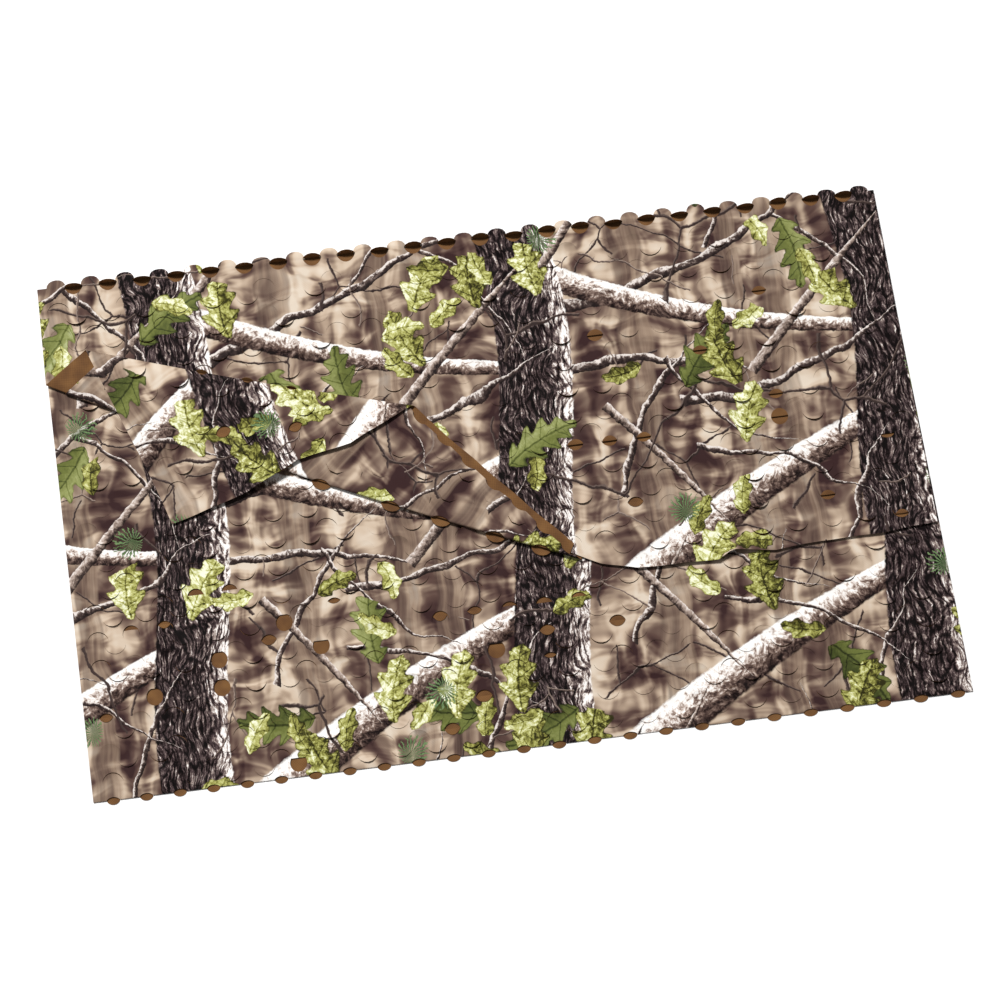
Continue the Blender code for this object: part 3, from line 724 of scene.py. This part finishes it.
# Tabs stand straight on past the folds, tilted up or drooping
TAB_ROOT, TAB_LOWEST = 0.002, 0.0004
tab_rng = np.random.default_rng(7)
tab_faces, tab_points, tab_uvs = [], [], []
for root, tip, chord, length, (least, most, droop) in tabs:
    root, tip, chord = np.array(root), np.array(tip), np.array(chord)
    ends = [int(np.argmin(((flat[:count] - end) ** 2).sum(axis=1))) for end in chord]
    step = (tip - root) / length
    base, before = (lay(*(root - step * back)) for back in (TAB_ROOT, 2.0 * TAB_ROOT))
    proud = (base - before) / np.linalg.norm(base - before)
    across_tab = points[ends[0]] - points[ends[1]]
    half = np.linalg.norm(across_tab) / 2.0
    across_tab = across_tab / (2.0 * half)
    up = np.cross(across_tab, proud)
    up *= np.sign(up[2])
    tilt = tab_rng.uniform(least, most)
    centre = (points[ends[0]] + points[ends[1]]) / 2.0

    def on_tab(side_share, reach_share):
        """A point of the tab, which curls down towards its end, and its place on the sheet."""
        curl = tilt - droop * reach_share
        run = length * reach_share
        place = centre + across_tab * half * side_share
        place = place + (proud * math.cos(curl) + up * math.sin(curl)) * run
        return place, root + (chord[0] - root) * side_share + (tip - root) * reach_share

    first = chord[0] - root
    turn_back = first[0] * step[1] - first[1] * step[0] < 0.0
    spread = [math.pi * s / 8 for s in range(1, 8)]
    rows = []
    for wide, far in ((0.9, 0.5), (1.0, 1.0)):
        rows.append([])
        for turn in spread:
            rows[-1].append(len(points) + len(tab_points))
            place, uv = on_tab(wide * math.cos(turn), far * math.sin(turn))
            place[2] = max(place[2], TAB_LOWEST)
            tab_points.append(place)
            tab_uvs.append(uv)
    inner, outer_row = rows[0], [ends[0]] + rows[1] + [ends[1]]
    made = [(outer_row[0], outer_row[1], inner[0])]
    for i in range(len(inner) - 1):
        made.append((inner[i], outer_row[i + 1], outer_row[i + 2]))
        made.append((inner[i], outer_row[i + 2], inner[i + 1]))
    made.append((inner[-1], outer_row[-2], outer_row[-1]))
    made.extend((ends[0], inner[i], inner[i + 1]) for i in range(len(inner) - 1))
    made.append((ends[0], inner[-1], ends[1]))
    tab_faces.extend(face[::-1] if turn_back else face for face in made)
points = np.concatenate((points, tab_points))
cloth_uv = np.concatenate((cloth_uv, tab_uvs))
flap_of = np.concatenate((flap_of, np.zeros(len(tab_points), int)))

# Flaps that are covered, or face the ground, are pressed flat
GRID, GRID_SIZE, GRID_CORNER = 0.010, (170, 130), (0.8, 0.6)
COVER = 0.0017                      # at least this much higher
column_of = ((points[:len(flat), 0] + GRID_CORNER[0]) / GRID).astype(int)
row_of = ((points[:len(flat), 1] + GRID_CORNER[1]) / GRID).astype(int)
highest_at = np.zeros(GRID_SIZE)
np.maximum.at(highest_at, (column_of, row_of), points[:len(flat), 2])
hidden = highest_at[column_of, row_of] > points[:len(flat), 2] + COVER
hidden |= facing[:, 2] < 0.5
numbers = flap_of[:len(flat)]
pressed = np.isin(numbers, numbers[hidden & (turned == 0.0)]) | (turned != 0.0)
reach = np.concatenate((np.where(pressed, 0.0, reach), np.zeros(len(tab_points))))
triangles = np.concatenate((triangles, tab_faces))

# Points that no triangle uses are dropped
used = np.unique(triangles)
renumber = np.zeros(len(points), int)
renumber[used] = np.arange(len(used))
triangles = renumber[triangles]
points, cloth_uv, flap_of, reach = points[used], cloth_uv[used], flap_of[used], reach[used]

cloth = bpy.data.meshes.new("cloth")
cloth.from_pydata(points.tolist(), [], triangles.tolist())
cloth.attributes.new("flap", "INT", "POINT").data.foreach_set("value", flap_of.astype(np.int32))
cloth.attributes.new("reach", "FLOAT", "POINT").data.foreach_set("value", reach.astype(np.float32))


# -------------------------------------------------- the net: its woodland print
# The printed side carries a made-up woodland: a blurred tan ground, a dark trunk in each
# repeat, pale limbs and twigs across it, and leaves, needle tufts and crinkled buds on top.

REPEAT_U, REPEAT_V = 0.63, 0.78     # the print's repeat, across and along the sheet
HALF_U, HALF_V = REPEAT_U / 2.0, REPEAT_V / 2.0
TRUNK_AT, TRUNK_HALF, TRUNK_SWAY = 0.205, 0.066, 0.018
GROUND = ((0.35, "#362222"), (0.43, "#59433c"), (0.49, "#7f6a5c"), (0.54, "#a8927e"),
          (0.59, "#c8b39d"), (0.69, "#d8c9b7"))
DIM = ((0.30, "#4f3d36"), (0.45, "#6d594d"), (0.58, "#8c7664"), (0.75, "#ad9783"))
DIM_TRUNKS = ((0.405, 0.030), (0.590, 0.021), (0.030, 0.025))      # middle across, half width
BARK = ((0.40, "#080303"), (0.46, "#251a1a"), (0.515, "#443637"), (0.565, "#695957"),
        (0.615, "#a8978d"), (0.67, "#fbf5f0"))
LIMB = ((0.00, "#150b0a"), (0.18, "#3b2b27"), (0.36, "#69554c"), (0.50, "#9c877b"),
        (0.61, "#dccfc6"), (0.78, "#fcf9f5"))
TWIG = ((0.10, "#1d1413"), (0.45, "#3c2f2c"), (0.62, "#75645c"), (0.80, "#e2d8d1"))
STICK = ((0.05, "#1d1413"), (0.30, "#4d3e38"), (0.50, "#8c7a6f"), (0.70, "#b5a398"),
         (0.90, "#e6dcd5"))
LIMBS = (
    # middle across and up, lean, half length, half width, bow
    (0.525, 0.235, 0.52, 0.300, 0.0330, 0.20),
    (0.530, 0.590, -0.28, 0.290, 0.0190, -0.30),
)
STICKS = (
    (0.100, 0.610, 0.78, 0.190, 0.0080, 0.1),
    (0.430, 0.330, -0.90, 0.150, 0.0062, 0.2),
    (0.350, 0.060, 0.95, 0.170, 0.0070, -0.2),
)
TWIGS = (
    # the first two grow behind the limbs and the trunk
    (0.540, 0.700, 0.42, 0.270, 0.0090, -0.5),
    (0.420, 0.520, -0.10, 0.190, 0.0075, 0.7),
    (0.100, 0.200, 1.15, 0.170, 0.0050, 0.8),
    (0.060, 0.470, 0.30, 0.220, 0.0065, -0.7),
    (0.420, 0.450, 0.95, 0.180, 0.0052, 0.9),
    (0.540, 0.400, -0.70, 0.150, 0.0034, -1.6),
    (0.380, 0.100, -0.20, 0.200, 0.0044, 1.2),
    (0.600, 0.060, 1.35, 0.130, 0.0032, -1.2),
    (0.020, 0.300, -0.45, 0.170, 0.0040, 1.0),
    (0.150, 0.670, -0.95, 0.140, 0.0038, 1.5),
)
BLUNT_TIP, THIN_TIP = 1.0, 0.2      # share of the width left at a limb's tip, and at a twig's
OAK_GREENS = ((0.12, "#23260f"), (0.35, "#434a22"), (0.58, "#6c723a"), (0.78, "#90955c"),
              (1.0, "#c9cda0"))
BUD_GREENS = ((0.20, "#2c2a0e"), (0.37, "#64612a"), (0.54, "#9b9a50"), (0.70, "#c3c37e"),
              (0.92, "#f4f5d8"))
NEEDLE_GREENS = ((0.30, "#141f12"), (0.60, "#36502f"), (0.85, "#7d9465"))
ANY_WAY = 6.28                      # radians
LEAVES = (
    # shift, spread, half length, share, spread of ways they hang, width, lobes, their depth, crinkle
    ((0.31, 0.17), 0.155, 0.070, 0.10, ANY_WAY, 0.52, 2.2, 0.26, 0.45, OAK_GREENS),
    ((0.05, 0.44), 0.110, 0.060, 0.04, 1.60, 0.60, 1.7, 0.22, 2.10, BUD_GREENS),
    ((0.77, 0.09), 0.080, 0.038, 0.02, ANY_WAY, 0.52, 1.2, 0.18, 1.60, BUD_GREENS),
)
TUFT_SPREAD, TUFT_SHARE, NEEDLES = 0.105, 0.10, 21.0
THREAD_PITCH, THREAD_HEIGHT = 0.0022, 0.0003
DULL = 0.12                         # specular level of dyed matt polyester

# Printed polyester, 0.3 mm thick: dye on a matt synthetic, so it shows as even colour with hardly
# any sheen, and the roughness wanders a little as it does on worn cloth.
printed, print_tree, printed_shader = new_material("printed polyester")
ink = functools.partial(node, print_tree)
CELL_EDGES = {"voronoi_dimensions": "2D", "feature": "DISTANCE_TO_EDGE"}


def dab(mask, below, tone, shades):
    """Lay a colour over the picture so far, where the mask lets it; its tone picks the shade."""
    colour = ink("ValToRGB", tone, stops=shades)
    return ink("MixRGB", mask, below, colour)


# Two shifts make outlines ragged within 9 mm and crooked within 55 mm. Mottled marks about 10 mm
# across, and finer, go into bark and leaves.
place = ink("UVMap", uv_map="cloth")
fine = ink("TexNoise", place, Scale=75.0, Detail=4.0, Roughness=0.65)
fine_shift = ink("VectorMath SUBTRACT", fine.outputs["Color"], (0.5, 0.5, 0.5))
soft = ink("TexNoise", place, Scale=11.0, Detail=1.0)
soft_shift = ink("VectorMath SUBTRACT", soft.outputs["Color"], (0.5, 0.5, 0.5))
ragged = ink("VectorMath MULTIPLY_ADD", fine_shift, (0.009, 0.009, 0.0), place)
crooked = ink("VectorMath MULTIPLY_ADD", soft_shift, (0.055, 0.055, 0.0), ragged)
marks = ink("TexNoise", crooked, Scale=95.0, Detail=4.0, Roughness=0.75, Distortion=0.3)

# Blurred ground: smears about 40 mm wide and 130 mm tall, blots about 75 mm wide and 30 mm tall
blurred = ink("VectorMath MULTIPLY_ADD", soft_shift, (0.05, 0.05, 0.0), place)
smears, blots = (
    ink("TexNoise", ink("VectorMath MULTIPLY", blurred, per_metre), Scale=1.0, Detail=2.0,
        Roughness=0.5, Distortion=0.5) for per_metre in ((24.0, 7.5, 1.0), (13.0, 32.0, 1.0)))
blend = ink("Math MULTIPLY", blots, 0.62)
tone = ink("Math MULTIPLY_ADD", smears, 0.72, blend)
tone = ink("Math SUBTRACT", tone, 0.178)
open_ground = ink("TexNoise", place, Scale=3.2, Detail=1.0)
tone = ink("Math MULTIPLY_ADD", open_ground, 0.26, tone)
tone = ink("Math SUBTRACT", tone, 0.13)
picture = ink("ValToRGB", tone, stops=GROUND)


def trunk_cover(x, across, half_across, full, most):
    """How far across a trunk of the repeat a place lies, from -1 to 1, and how much it covers."""
    away = ink("Math SUBTRACT", x, across)
    away = ink("Math WRAP", away, HALF_U, -HALF_U)
    away = ink("Math DIVIDE", away, half_across)
    far = ink("Math ABSOLUTE", away)
    return away, ink("MapRange", far, 1.0, full, 0.0, most)


# Dim trunks far behind, darker down their left side
hazy = ink("VectorMath MULTIPLY_ADD", soft_shift, (0.030, 0.030, 0.0), place)
hazy_x = ink("SeparateXYZ", hazy).outputs[0]
grain_place = ink("VectorMath MULTIPLY", hazy, (90.0, 6.0, 1.0))
grain = ink("TexNoise", grain_place, Scale=1.0, Detail=3.0)
for across, half_across in DIM_TRUNKS:
    away, haze = trunk_cover(hazy_x, across, half_across, 0.82, 0.62)
    grey = ink("Math MULTIPLY_ADD", away, 0.12, grain)
    picture = dab(haze, picture, grey, DIM)

branch_marks = ink("MapRange", marks, 0.28, 0.66, 0.06, 0.78)


def paint_branch(below, across, up, lean, half_length, half_width, bow, tip, wander, shades):
    """Paint one branch of the repeat over the picture so far, rounded by light from above."""
    away = ink("VectorMath SUBTRACT", wander, (across, up, 0.0))
    near = ink("VectorMath WRAP", away, (HALF_U, HALF_V, 1.0), (-HALF_U, -HALF_V, -1.0))
    turned = ink("VectorRotate", near, Angle=-lean, rotation_type="Z_AXIS")
    run, side, _ = ink("SeparateXYZ", turned).outputs
    square = ink("Math MULTIPLY", run, run)
    bowed = ink("Math MULTIPLY_ADD", square, bow, side)
    thick = ink("Math MULTIPLY_ADD", run, -0.35 * half_width / half_length, half_width)
    tapered = ink("MapRange", run, half_length, 0.35 * half_length, tip)
    thick = ink("Math MULTIPLY", thick, tapered)
    rounded = ink("Math DIVIDE", bowed, thick)
    size = ink("Math ABSOLUTE", rounded)
    inside = ink("MapRange", size, 1.0, 0.90)
    far = ink("Math ABSOLUTE", run)
    before_end = ink("Math LESS_THAN", far, half_length)
    mask = ink("Math MULTIPLY", inside, before_end)
    shade = ink("Math MULTIPLY_ADD", rounded, 0.45, branch_marks)
    return dab(mask, below, shade, shades)


def paint_twigs(below, shift, spread, half_width, share, shades):
    """Paint a forked tangle of thin twigs, dark below and pale above, broken here and there."""
    moved = ink("VectorMath ADD", crooked, shift + (0.0,))
    lower = ink("VectorMath ADD", moved, (0.0006, -0.0016, 0.0))
    middle, under = (ink("TexVoronoi", at, Scale=1.0 / spread, **CELL_EDGES)
                     for at in (moved, lower))
    body = ink("MapRange", middle, half_width / spread, 0.6 * half_width / spread)
    broken = ink("TexNoise", moved, Scale=7.0, Detail=0.0)
    kept = ink("Math GREATER_THAN", broken, 1.0 - share)
    mask = ink("Math MULTIPLY", body, kept)
    deeper = ink("Math SUBTRACT", middle, under)
    shade = ink("Math MULTIPLY_ADD", deeper, 0.28 * spread / half_width, 0.45)
    return dab(mask, below, shade, shades)


picture = paint_twigs(picture, (0.37, 0.22), 0.21, 0.0024, 0.52, TWIG)
for twig in TWIGS[:2]:
    picture = paint_branch(picture, *twig, THIN_TIP, crooked, TWIG)
for limb in LIMBS:
    picture = paint_branch(picture, *limb, BLUNT_TIP, ragged, LIMB)

# The trunk: dark bark that sways through the repeat, pale along one side, with furrows about 5 mm
# wide and 26 mm long and plates about 11 by 38 mm
spot = ink("SeparateXYZ", ragged)
turn = ink("Math MULTIPLY", spot.outputs[1], 2.0 * math.pi / REPEAT_V)
sway = ink("Math SINE", turn)
swayed = ink("Math MULTIPLY_ADD", sway, TRUNK_SWAY, spot.outputs[0])
trunk_side, on_trunk = trunk_cover(swayed, TRUNK_AT, TRUNK_HALF, 0.96, 1.0)
furrow_place = ink("VectorMath MULTIPLY", crooked, (215.0, 38.0, 1.0))
furrows = ink("TexNoise", furrow_place, Scale=1.0, Detail=6.0, Roughness=0.72, Distortion=0.4)
plate_place = ink("VectorMath MULTIPLY", crooked, (88.0, 26.0, 1.0))
plates = ink("TexVoronoi", plate_place, Scale=1.0, **CELL_EDGES)
crack = ink("MapRange", plates, 0.0, 0.16, -0.13, 0.0)
lit_side = ink("MapRange", trunk_side, 0.30, 1.00, 0.00, 0.19)
bark_tone = ink("Math ADD", furrows, crack)
flecks = ink("Math SUBTRACT", marks, 0.5)
bark_tone = ink("Math MULTIPLY_ADD", flecks, 0.32, bark_tone)
bark_tone = ink("Math ADD", bark_tone, lit_side)
picture = dab(on_trunk, picture, bark_tone, BARK)

for twig in TWIGS[2:]:
    picture = paint_branch(picture, *twig, THIN_TIP, crooked, TWIG)
for stick in STICKS:
    picture = paint_branch(picture, *stick, THIN_TIP, ragged, STICK)
picture = paint_twigs(picture, (0.11, 0.53), 0.29, 0.0034, 0.48, TWIG)
picture = paint_twigs(picture, (0.71, 0.31), 0.25, 0.0020, 0.42, STICK)


def paint_leaves(below, shift, spread, half_length, share, hang, width, lobes, depth, crinkle,
                 greens):
    """Paint scattered leaves with lobed edges and veins, one at most to a cell of the spread."""
    moved = ink("VectorMath ADD", ragged, shift + (0.0,))
    cells = ink("TexVoronoi", moved, Scale=1.0 / spread, Randomness=0.65, voronoi_dimensions="2D")
    # They grow in groves, each turned its own way
    grove_place = ink("VectorMath SUBTRACT", cells.outputs["Position"], shift + (0.0,))
    groves = ink("TexNoise", grove_place, Scale=4.5, Detail=0.0)
    chance = ink("SeparateColor", cells.outputs["Color"])
    wanted = ink("Math MULTIPLY_ADD", groves, 2.6, chance.outputs[1])
    grown = ink("Math GREATER_THAN", wanted, 2.30 - share)
    local = ink("VectorMath SUBTRACT", moved, cells.outputs["Position"])
    angle = ink("Math MULTIPLY_ADD", chance.outputs[0], hang, -math.pi / 2.0 - hang / 2.0)
    turned = ink("VectorRotate", local, Angle=angle, rotation_type="Z_AXIS")
    scaled = ink("VectorMath SCALE", turned, Scale=1.0 / half_length)
    # The outline: a pointed oval, curved a little, with its edge cut into lobes
    run, side, _ = ink("SeparateXYZ", scaled).outputs
    curved = ink("Math MULTIPLY", run, run)
    side = ink("Math MULTIPLY_ADD", curved, 0.14, side)
    out = ink("Math ABSOLUTE", side)
    length_left = ink("Math SUBTRACT", 1.0, curved, use_clamp=True)
    swell = ink("Math POWER", length_left, 0.65)
    swept = ink("Math MULTIPLY_ADD", out, -0.7, run)
    wave = ink("Math MULTIPLY", swept, 2.0 * math.pi * lobes)
    crest = ink("Math COSINE", wave)
    cut = ink("Math MULTIPLY_ADD", crest, depth, 1.0 - depth)
    full = ink("Math MULTIPLY", swell, width)
    edge = ink("Math MULTIPLY", full, cut)
    inside = ink("Math SUBTRACT", edge, out)
    shape = ink("MapRange", inside, 0.0, 0.03)
    mask = ink("Math MULTIPLY", shape, grown)
    # The tone: dark rib, veins and rim, one half paler than the other, and a crinkled face
    rib = ink("MapRange", out, 0.008, 0.036, -0.26, 0.0)
    veins = ink("MapRange", crest, 0.95, 0.995, 0.0, -0.20)
    fold = ink("MapRange", side, -0.15, 0.15, -0.08, 0.14)
    rim = ink("MapRange", inside, 0.01, 0.07, -0.30, 0.0)
    tone = ink("Math MULTIPLY_ADD", chance.outputs[2], 0.30, fold)
    for part in (rib, veins, rim):
        tone = ink("Math ADD", tone, part)
    tone = ink("Math MULTIPLY_ADD", marks, crinkle, tone)
    tone = ink("Math ADD", tone, 0.40 - crinkle / 2.0)
    return dab(mask, below, tone, greens)


for leaves in LEAVES:
    picture = paint_leaves(picture, *leaves)

# Needle tufts: fine dark green spokes round a middle, longer on one side
tuft_place = ink("VectorMath ADD", place, (0.13, 0.61, 0.0))
tuft_cells = ink("TexVoronoi", tuft_place, Scale=1.0 / TUFT_SPREAD, Randomness=0.7,
                 voronoi_dimensions="2D")
tuft_chance = ink("SeparateColor", tuft_cells.outputs["Color"])
tuft_local = ink("VectorMath SUBTRACT", tuft_place, tuft_cells.outputs["Position"])
tuft_x, tuft_y, _ = ink("SeparateXYZ", tuft_local).outputs
tuft_angle = ink("Math ARCTAN2", tuft_y, tuft_x)
tuft_far = ink("VectorMath LENGTH", tuft_local).outputs["Value"]
needles = ink("Math MULTIPLY", tuft_angle, NEEDLES)
needles = ink("Math MULTIPLY_ADD", fine, 17.0, needles)
needles = ink("Math SINE", needles)
tuft_edge = ink("Math MULTIPLY_ADD", needles, 0.008, 0.015)
tuft_edge = ink("Math MULTIPLY_ADD", fine, 0.008, tuft_edge)
tuft_lean = ink("Math MULTIPLY_ADD", tuft_chance.outputs[0], ANY_WAY, tuft_angle)
tuft_lean = ink("Math COSINE", tuft_lean)
tuft_lean = ink("Math MULTIPLY_ADD", tuft_lean, 0.35, 1.0)
tuft_edge = ink("Math MULTIPLY", tuft_edge, tuft_lean)
in_tuft = ink("Math LESS_THAN", tuft_far, tuft_edge)
gap = ink("Math GREATER_THAN", needles, -0.35)
tuft_grown = ink("Math GREATER_THAN", tuft_chance.outputs[1], 1.0 - TUFT_SHARE)
tuft_mask = ink("Math MULTIPLY", in_tuft, gap)
tuft_mask = ink("Math MULTIPLY", tuft_mask, tuft_grown)
tuft_tone = ink("Math MULTIPLY_ADD", needles, 0.3, 0.5)
picture = dab(tuft_mask, picture, tuft_tone, NEEDLE_GREENS)
print_tree.links.new(picture.outputs[0], printed_shader.inputs["Base Color"])


def weave(tree, shader, least, most):
    """Plain weave on the cloth map: threads in two directions, and uneven roughness."""
    per_thread = math.pi / THREAD_PITCH
    cloth_place = node(tree, "UVMap", uv_map="cloth")
    along = node(tree, "VectorMath MULTIPLY", cloth_place, (per_thread, per_thread, 0.0))
    across, up, _ = node(tree, "SeparateXYZ", along).outputs
    over = node(tree, "Math MULTIPLY", *[node(tree, "Math SINE", way) for way in (across, up)])
    worn = node(tree, "TexNoise", along, Scale=THREAD_PITCH * 9.0, Detail=3.0)
    rough = node(tree, "MapRange", worn, 0.3, 0.7, least, most)
    tree.links.new(rough.outputs[0], shader.inputs["Roughness"])
    raised = node(tree, "Bump", Height=over, Strength=0.15, Distance=THREAD_HEIGHT)
    tree.links.new(raised.outputs[0], shader.inputs["Normal"])
    return over, worn


# The real threads are about 0.3 mm apart. They are drawn 2.2 mm apart so that the weave shows.
weave(print_tree, printed_shader, 0.70, 0.90)
printed_shader.inputs["Specular IOR Level"].default_value = DULL


# ------------------------------------------------ the net: its lifted flaps
# Stiff thin cloth keeps the curl that the die gave each flap: most lie a hair above the cloth
# round them, and some stand up enough to throw a dark crescent of shadow. The reverse is brown.

THICKNESS = 0.0005                  # a little over the real 0.3 mm, so that cut edges show
LEAST_LIFT, MOST_LIFT, LIFT_SEED = 0.0005, 0.0065, 5
BROWNS = ((0.30, "#5d3f26"), (0.50, "#6d4c2e"), (0.70, "#7c5936"))

# The same polyester's reverse: dyed one plain brown and never printed, so it shows as flat warm
# patches, a little duller than the print.
reverse, reverse_tree, reverse_shader = new_material("brown polyester reverse")
threads, faded = weave(reverse_tree, reverse_shader, 0.75, 0.95)
# Its tone is lighter on the raised threads of the drawn weave and darker between them, which is
# painted shade; the rest of it wanders at random over the cloth.
reverse_tone = node(reverse_tree, "Math MULTIPLY_ADD", threads, 0.10, faded)
reverse_colour = node(reverse_tree, "ValToRGB", reverse_tone, stops=BROWNS)
reverse_tree.links.new(reverse_colour.outputs[0], reverse_shader.inputs["Base Color"])
reverse_shader.inputs["Specular IOR Level"].default_value = DULL

# Each flap is lifted along the cloth's normal, most at its tip, by its own random amount
lifting = bpy.data.node_groups.new("Lift the flaps", "GeometryNodeTree")
for socket_name, way, kind in (
        ("Cloth", "INPUT", "Geometry"), ("Least lift", "INPUT", "Float"),
        ("Most lift", "INPUT", "Float"), ("Seed", "INPUT", "Int"), ("Finish", "INPUT", "Material"),
        ("Cloth", "OUTPUT", "Geometry")):
    lifting.interface.new_socket(socket_name, in_out=way, socket_type="NodeSocket" + kind)
given = node(lifting, "NodeGroupInput").outputs
flap_number = node(lifting, "GeometryNodeInputNamedAttribute", "flap", data_type="INT")
flap_reach = node(lifting, "GeometryNodeInputNamedAttribute", "reach", data_type="FLOAT")
chance = node(lifting, "FunctionNodeRandomValue", ID=flap_number.outputs["Attribute"],
              Seed=given["Seed"], data_type="FLOAT")
uneven = node(lifting, "Math POWER", chance.outputs[1], 2.2)
share = node(lifting, "MapRange", uneven, 0.0, 1.0, given["Least lift"], given["Most lift"])
curl = node(lifting, "Math POWER", flap_reach.outputs["Attribute"], 1.5)
height = node(lifting, "Math MULTIPLY", share, curl)
outwards = node(lifting, "GeometryNodeInputNormal")
offset = node(lifting, "VectorMath SCALE", outwards, Scale=height)
moved = node(lifting, "GeometryNodeSetPosition", Geometry=given["Cloth"], Offset=offset)
real = node(lifting, "GeometryNodeRealizeInstances", moved)
finished = node(lifting, "GeometryNodeSetMaterial", Geometry=real, Material=given["Finish"])
node(lifting, "NodeGroupOutput", finished)

blank = add_object("cloth", cloth)
lifter = blank.modifiers.new("lift", "NODES")
lifter.node_group = lifting
values = {"Least lift": LEAST_LIFT, "Most lift": MOST_LIFT, "Seed": LIFT_SEED, "Finish": printed}
for item in lifting.interface.items_tree:
    if item.in_out == "INPUT" and item.name in values:
        lifter[item.identifier] = values[item.name]
lifted = bpy.data.meshes.new_from_object(blank.evaluated_get(bpy.context.evaluated_depsgraph_get()))
bpy.data.objects.remove(blank)

# The cloth's two faces and the cut walls between them
count = len(lifted.vertices)
points, normals = np.empty(count * 3), np.empty(count * 3)
lifted.vertices.foreach_get("co", points)
lifted.vertex_normals.foreach_get("vector", normals)
points, normals = points.reshape(-1, 3), normals.reshape(-1, 3)
around = np.concatenate((triangles[:, (0, 1)], triangles[:, (1, 2)], triangles[:, (2, 0)]))
forward = around[:, 0].astype(np.int64) * count + around[:, 1]
rim = around[~np.isin(around[:, 1].astype(np.int64) * count + around[:, 0], forward)]
walls = np.concatenate((
    np.stack((rim[:, 1], rim[:, 0], rim[:, 0] + count), axis=1),
    np.stack((rim[:, 1], rim[:, 0] + count, rim[:, 1] + count), axis=1)))
faces = np.concatenate((triangles, triangles[:, ::-1] + count, walls))
vertices = np.concatenate((points + normals * THICKNESS / 2.0, points - normals * THICKNESS / 2.0))
net_mesh = bpy.data.meshes.new("net_sheet_cloth")
net_mesh.from_pydata(vertices.tolist(), [], faces.tolist())
cloth_map = net_mesh.uv_layers.new(name="cloth")
both = np.concatenate((cloth_uv, cloth_uv))
cloth_map.uv.foreach_set("vector", both[faces.ravel()].astype(np.float32).ravel())
net_mesh.materials.append(printed)
net_mesh.materials.append(reverse)
slots = np.ones(len(faces), np.int32)
slots[:len(triangles)] = 0
net_mesh.polygons.foreach_set("material_index", slots)
net_mesh.polygons.foreach_set("use_smooth", np.ones(len(faces), bool))
net_mesh.set_sharp_from_angle(angle=math.radians(50.0))
net = add_object("camouflage_net", net_mesh)

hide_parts("net_sheet")
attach(net, "root")
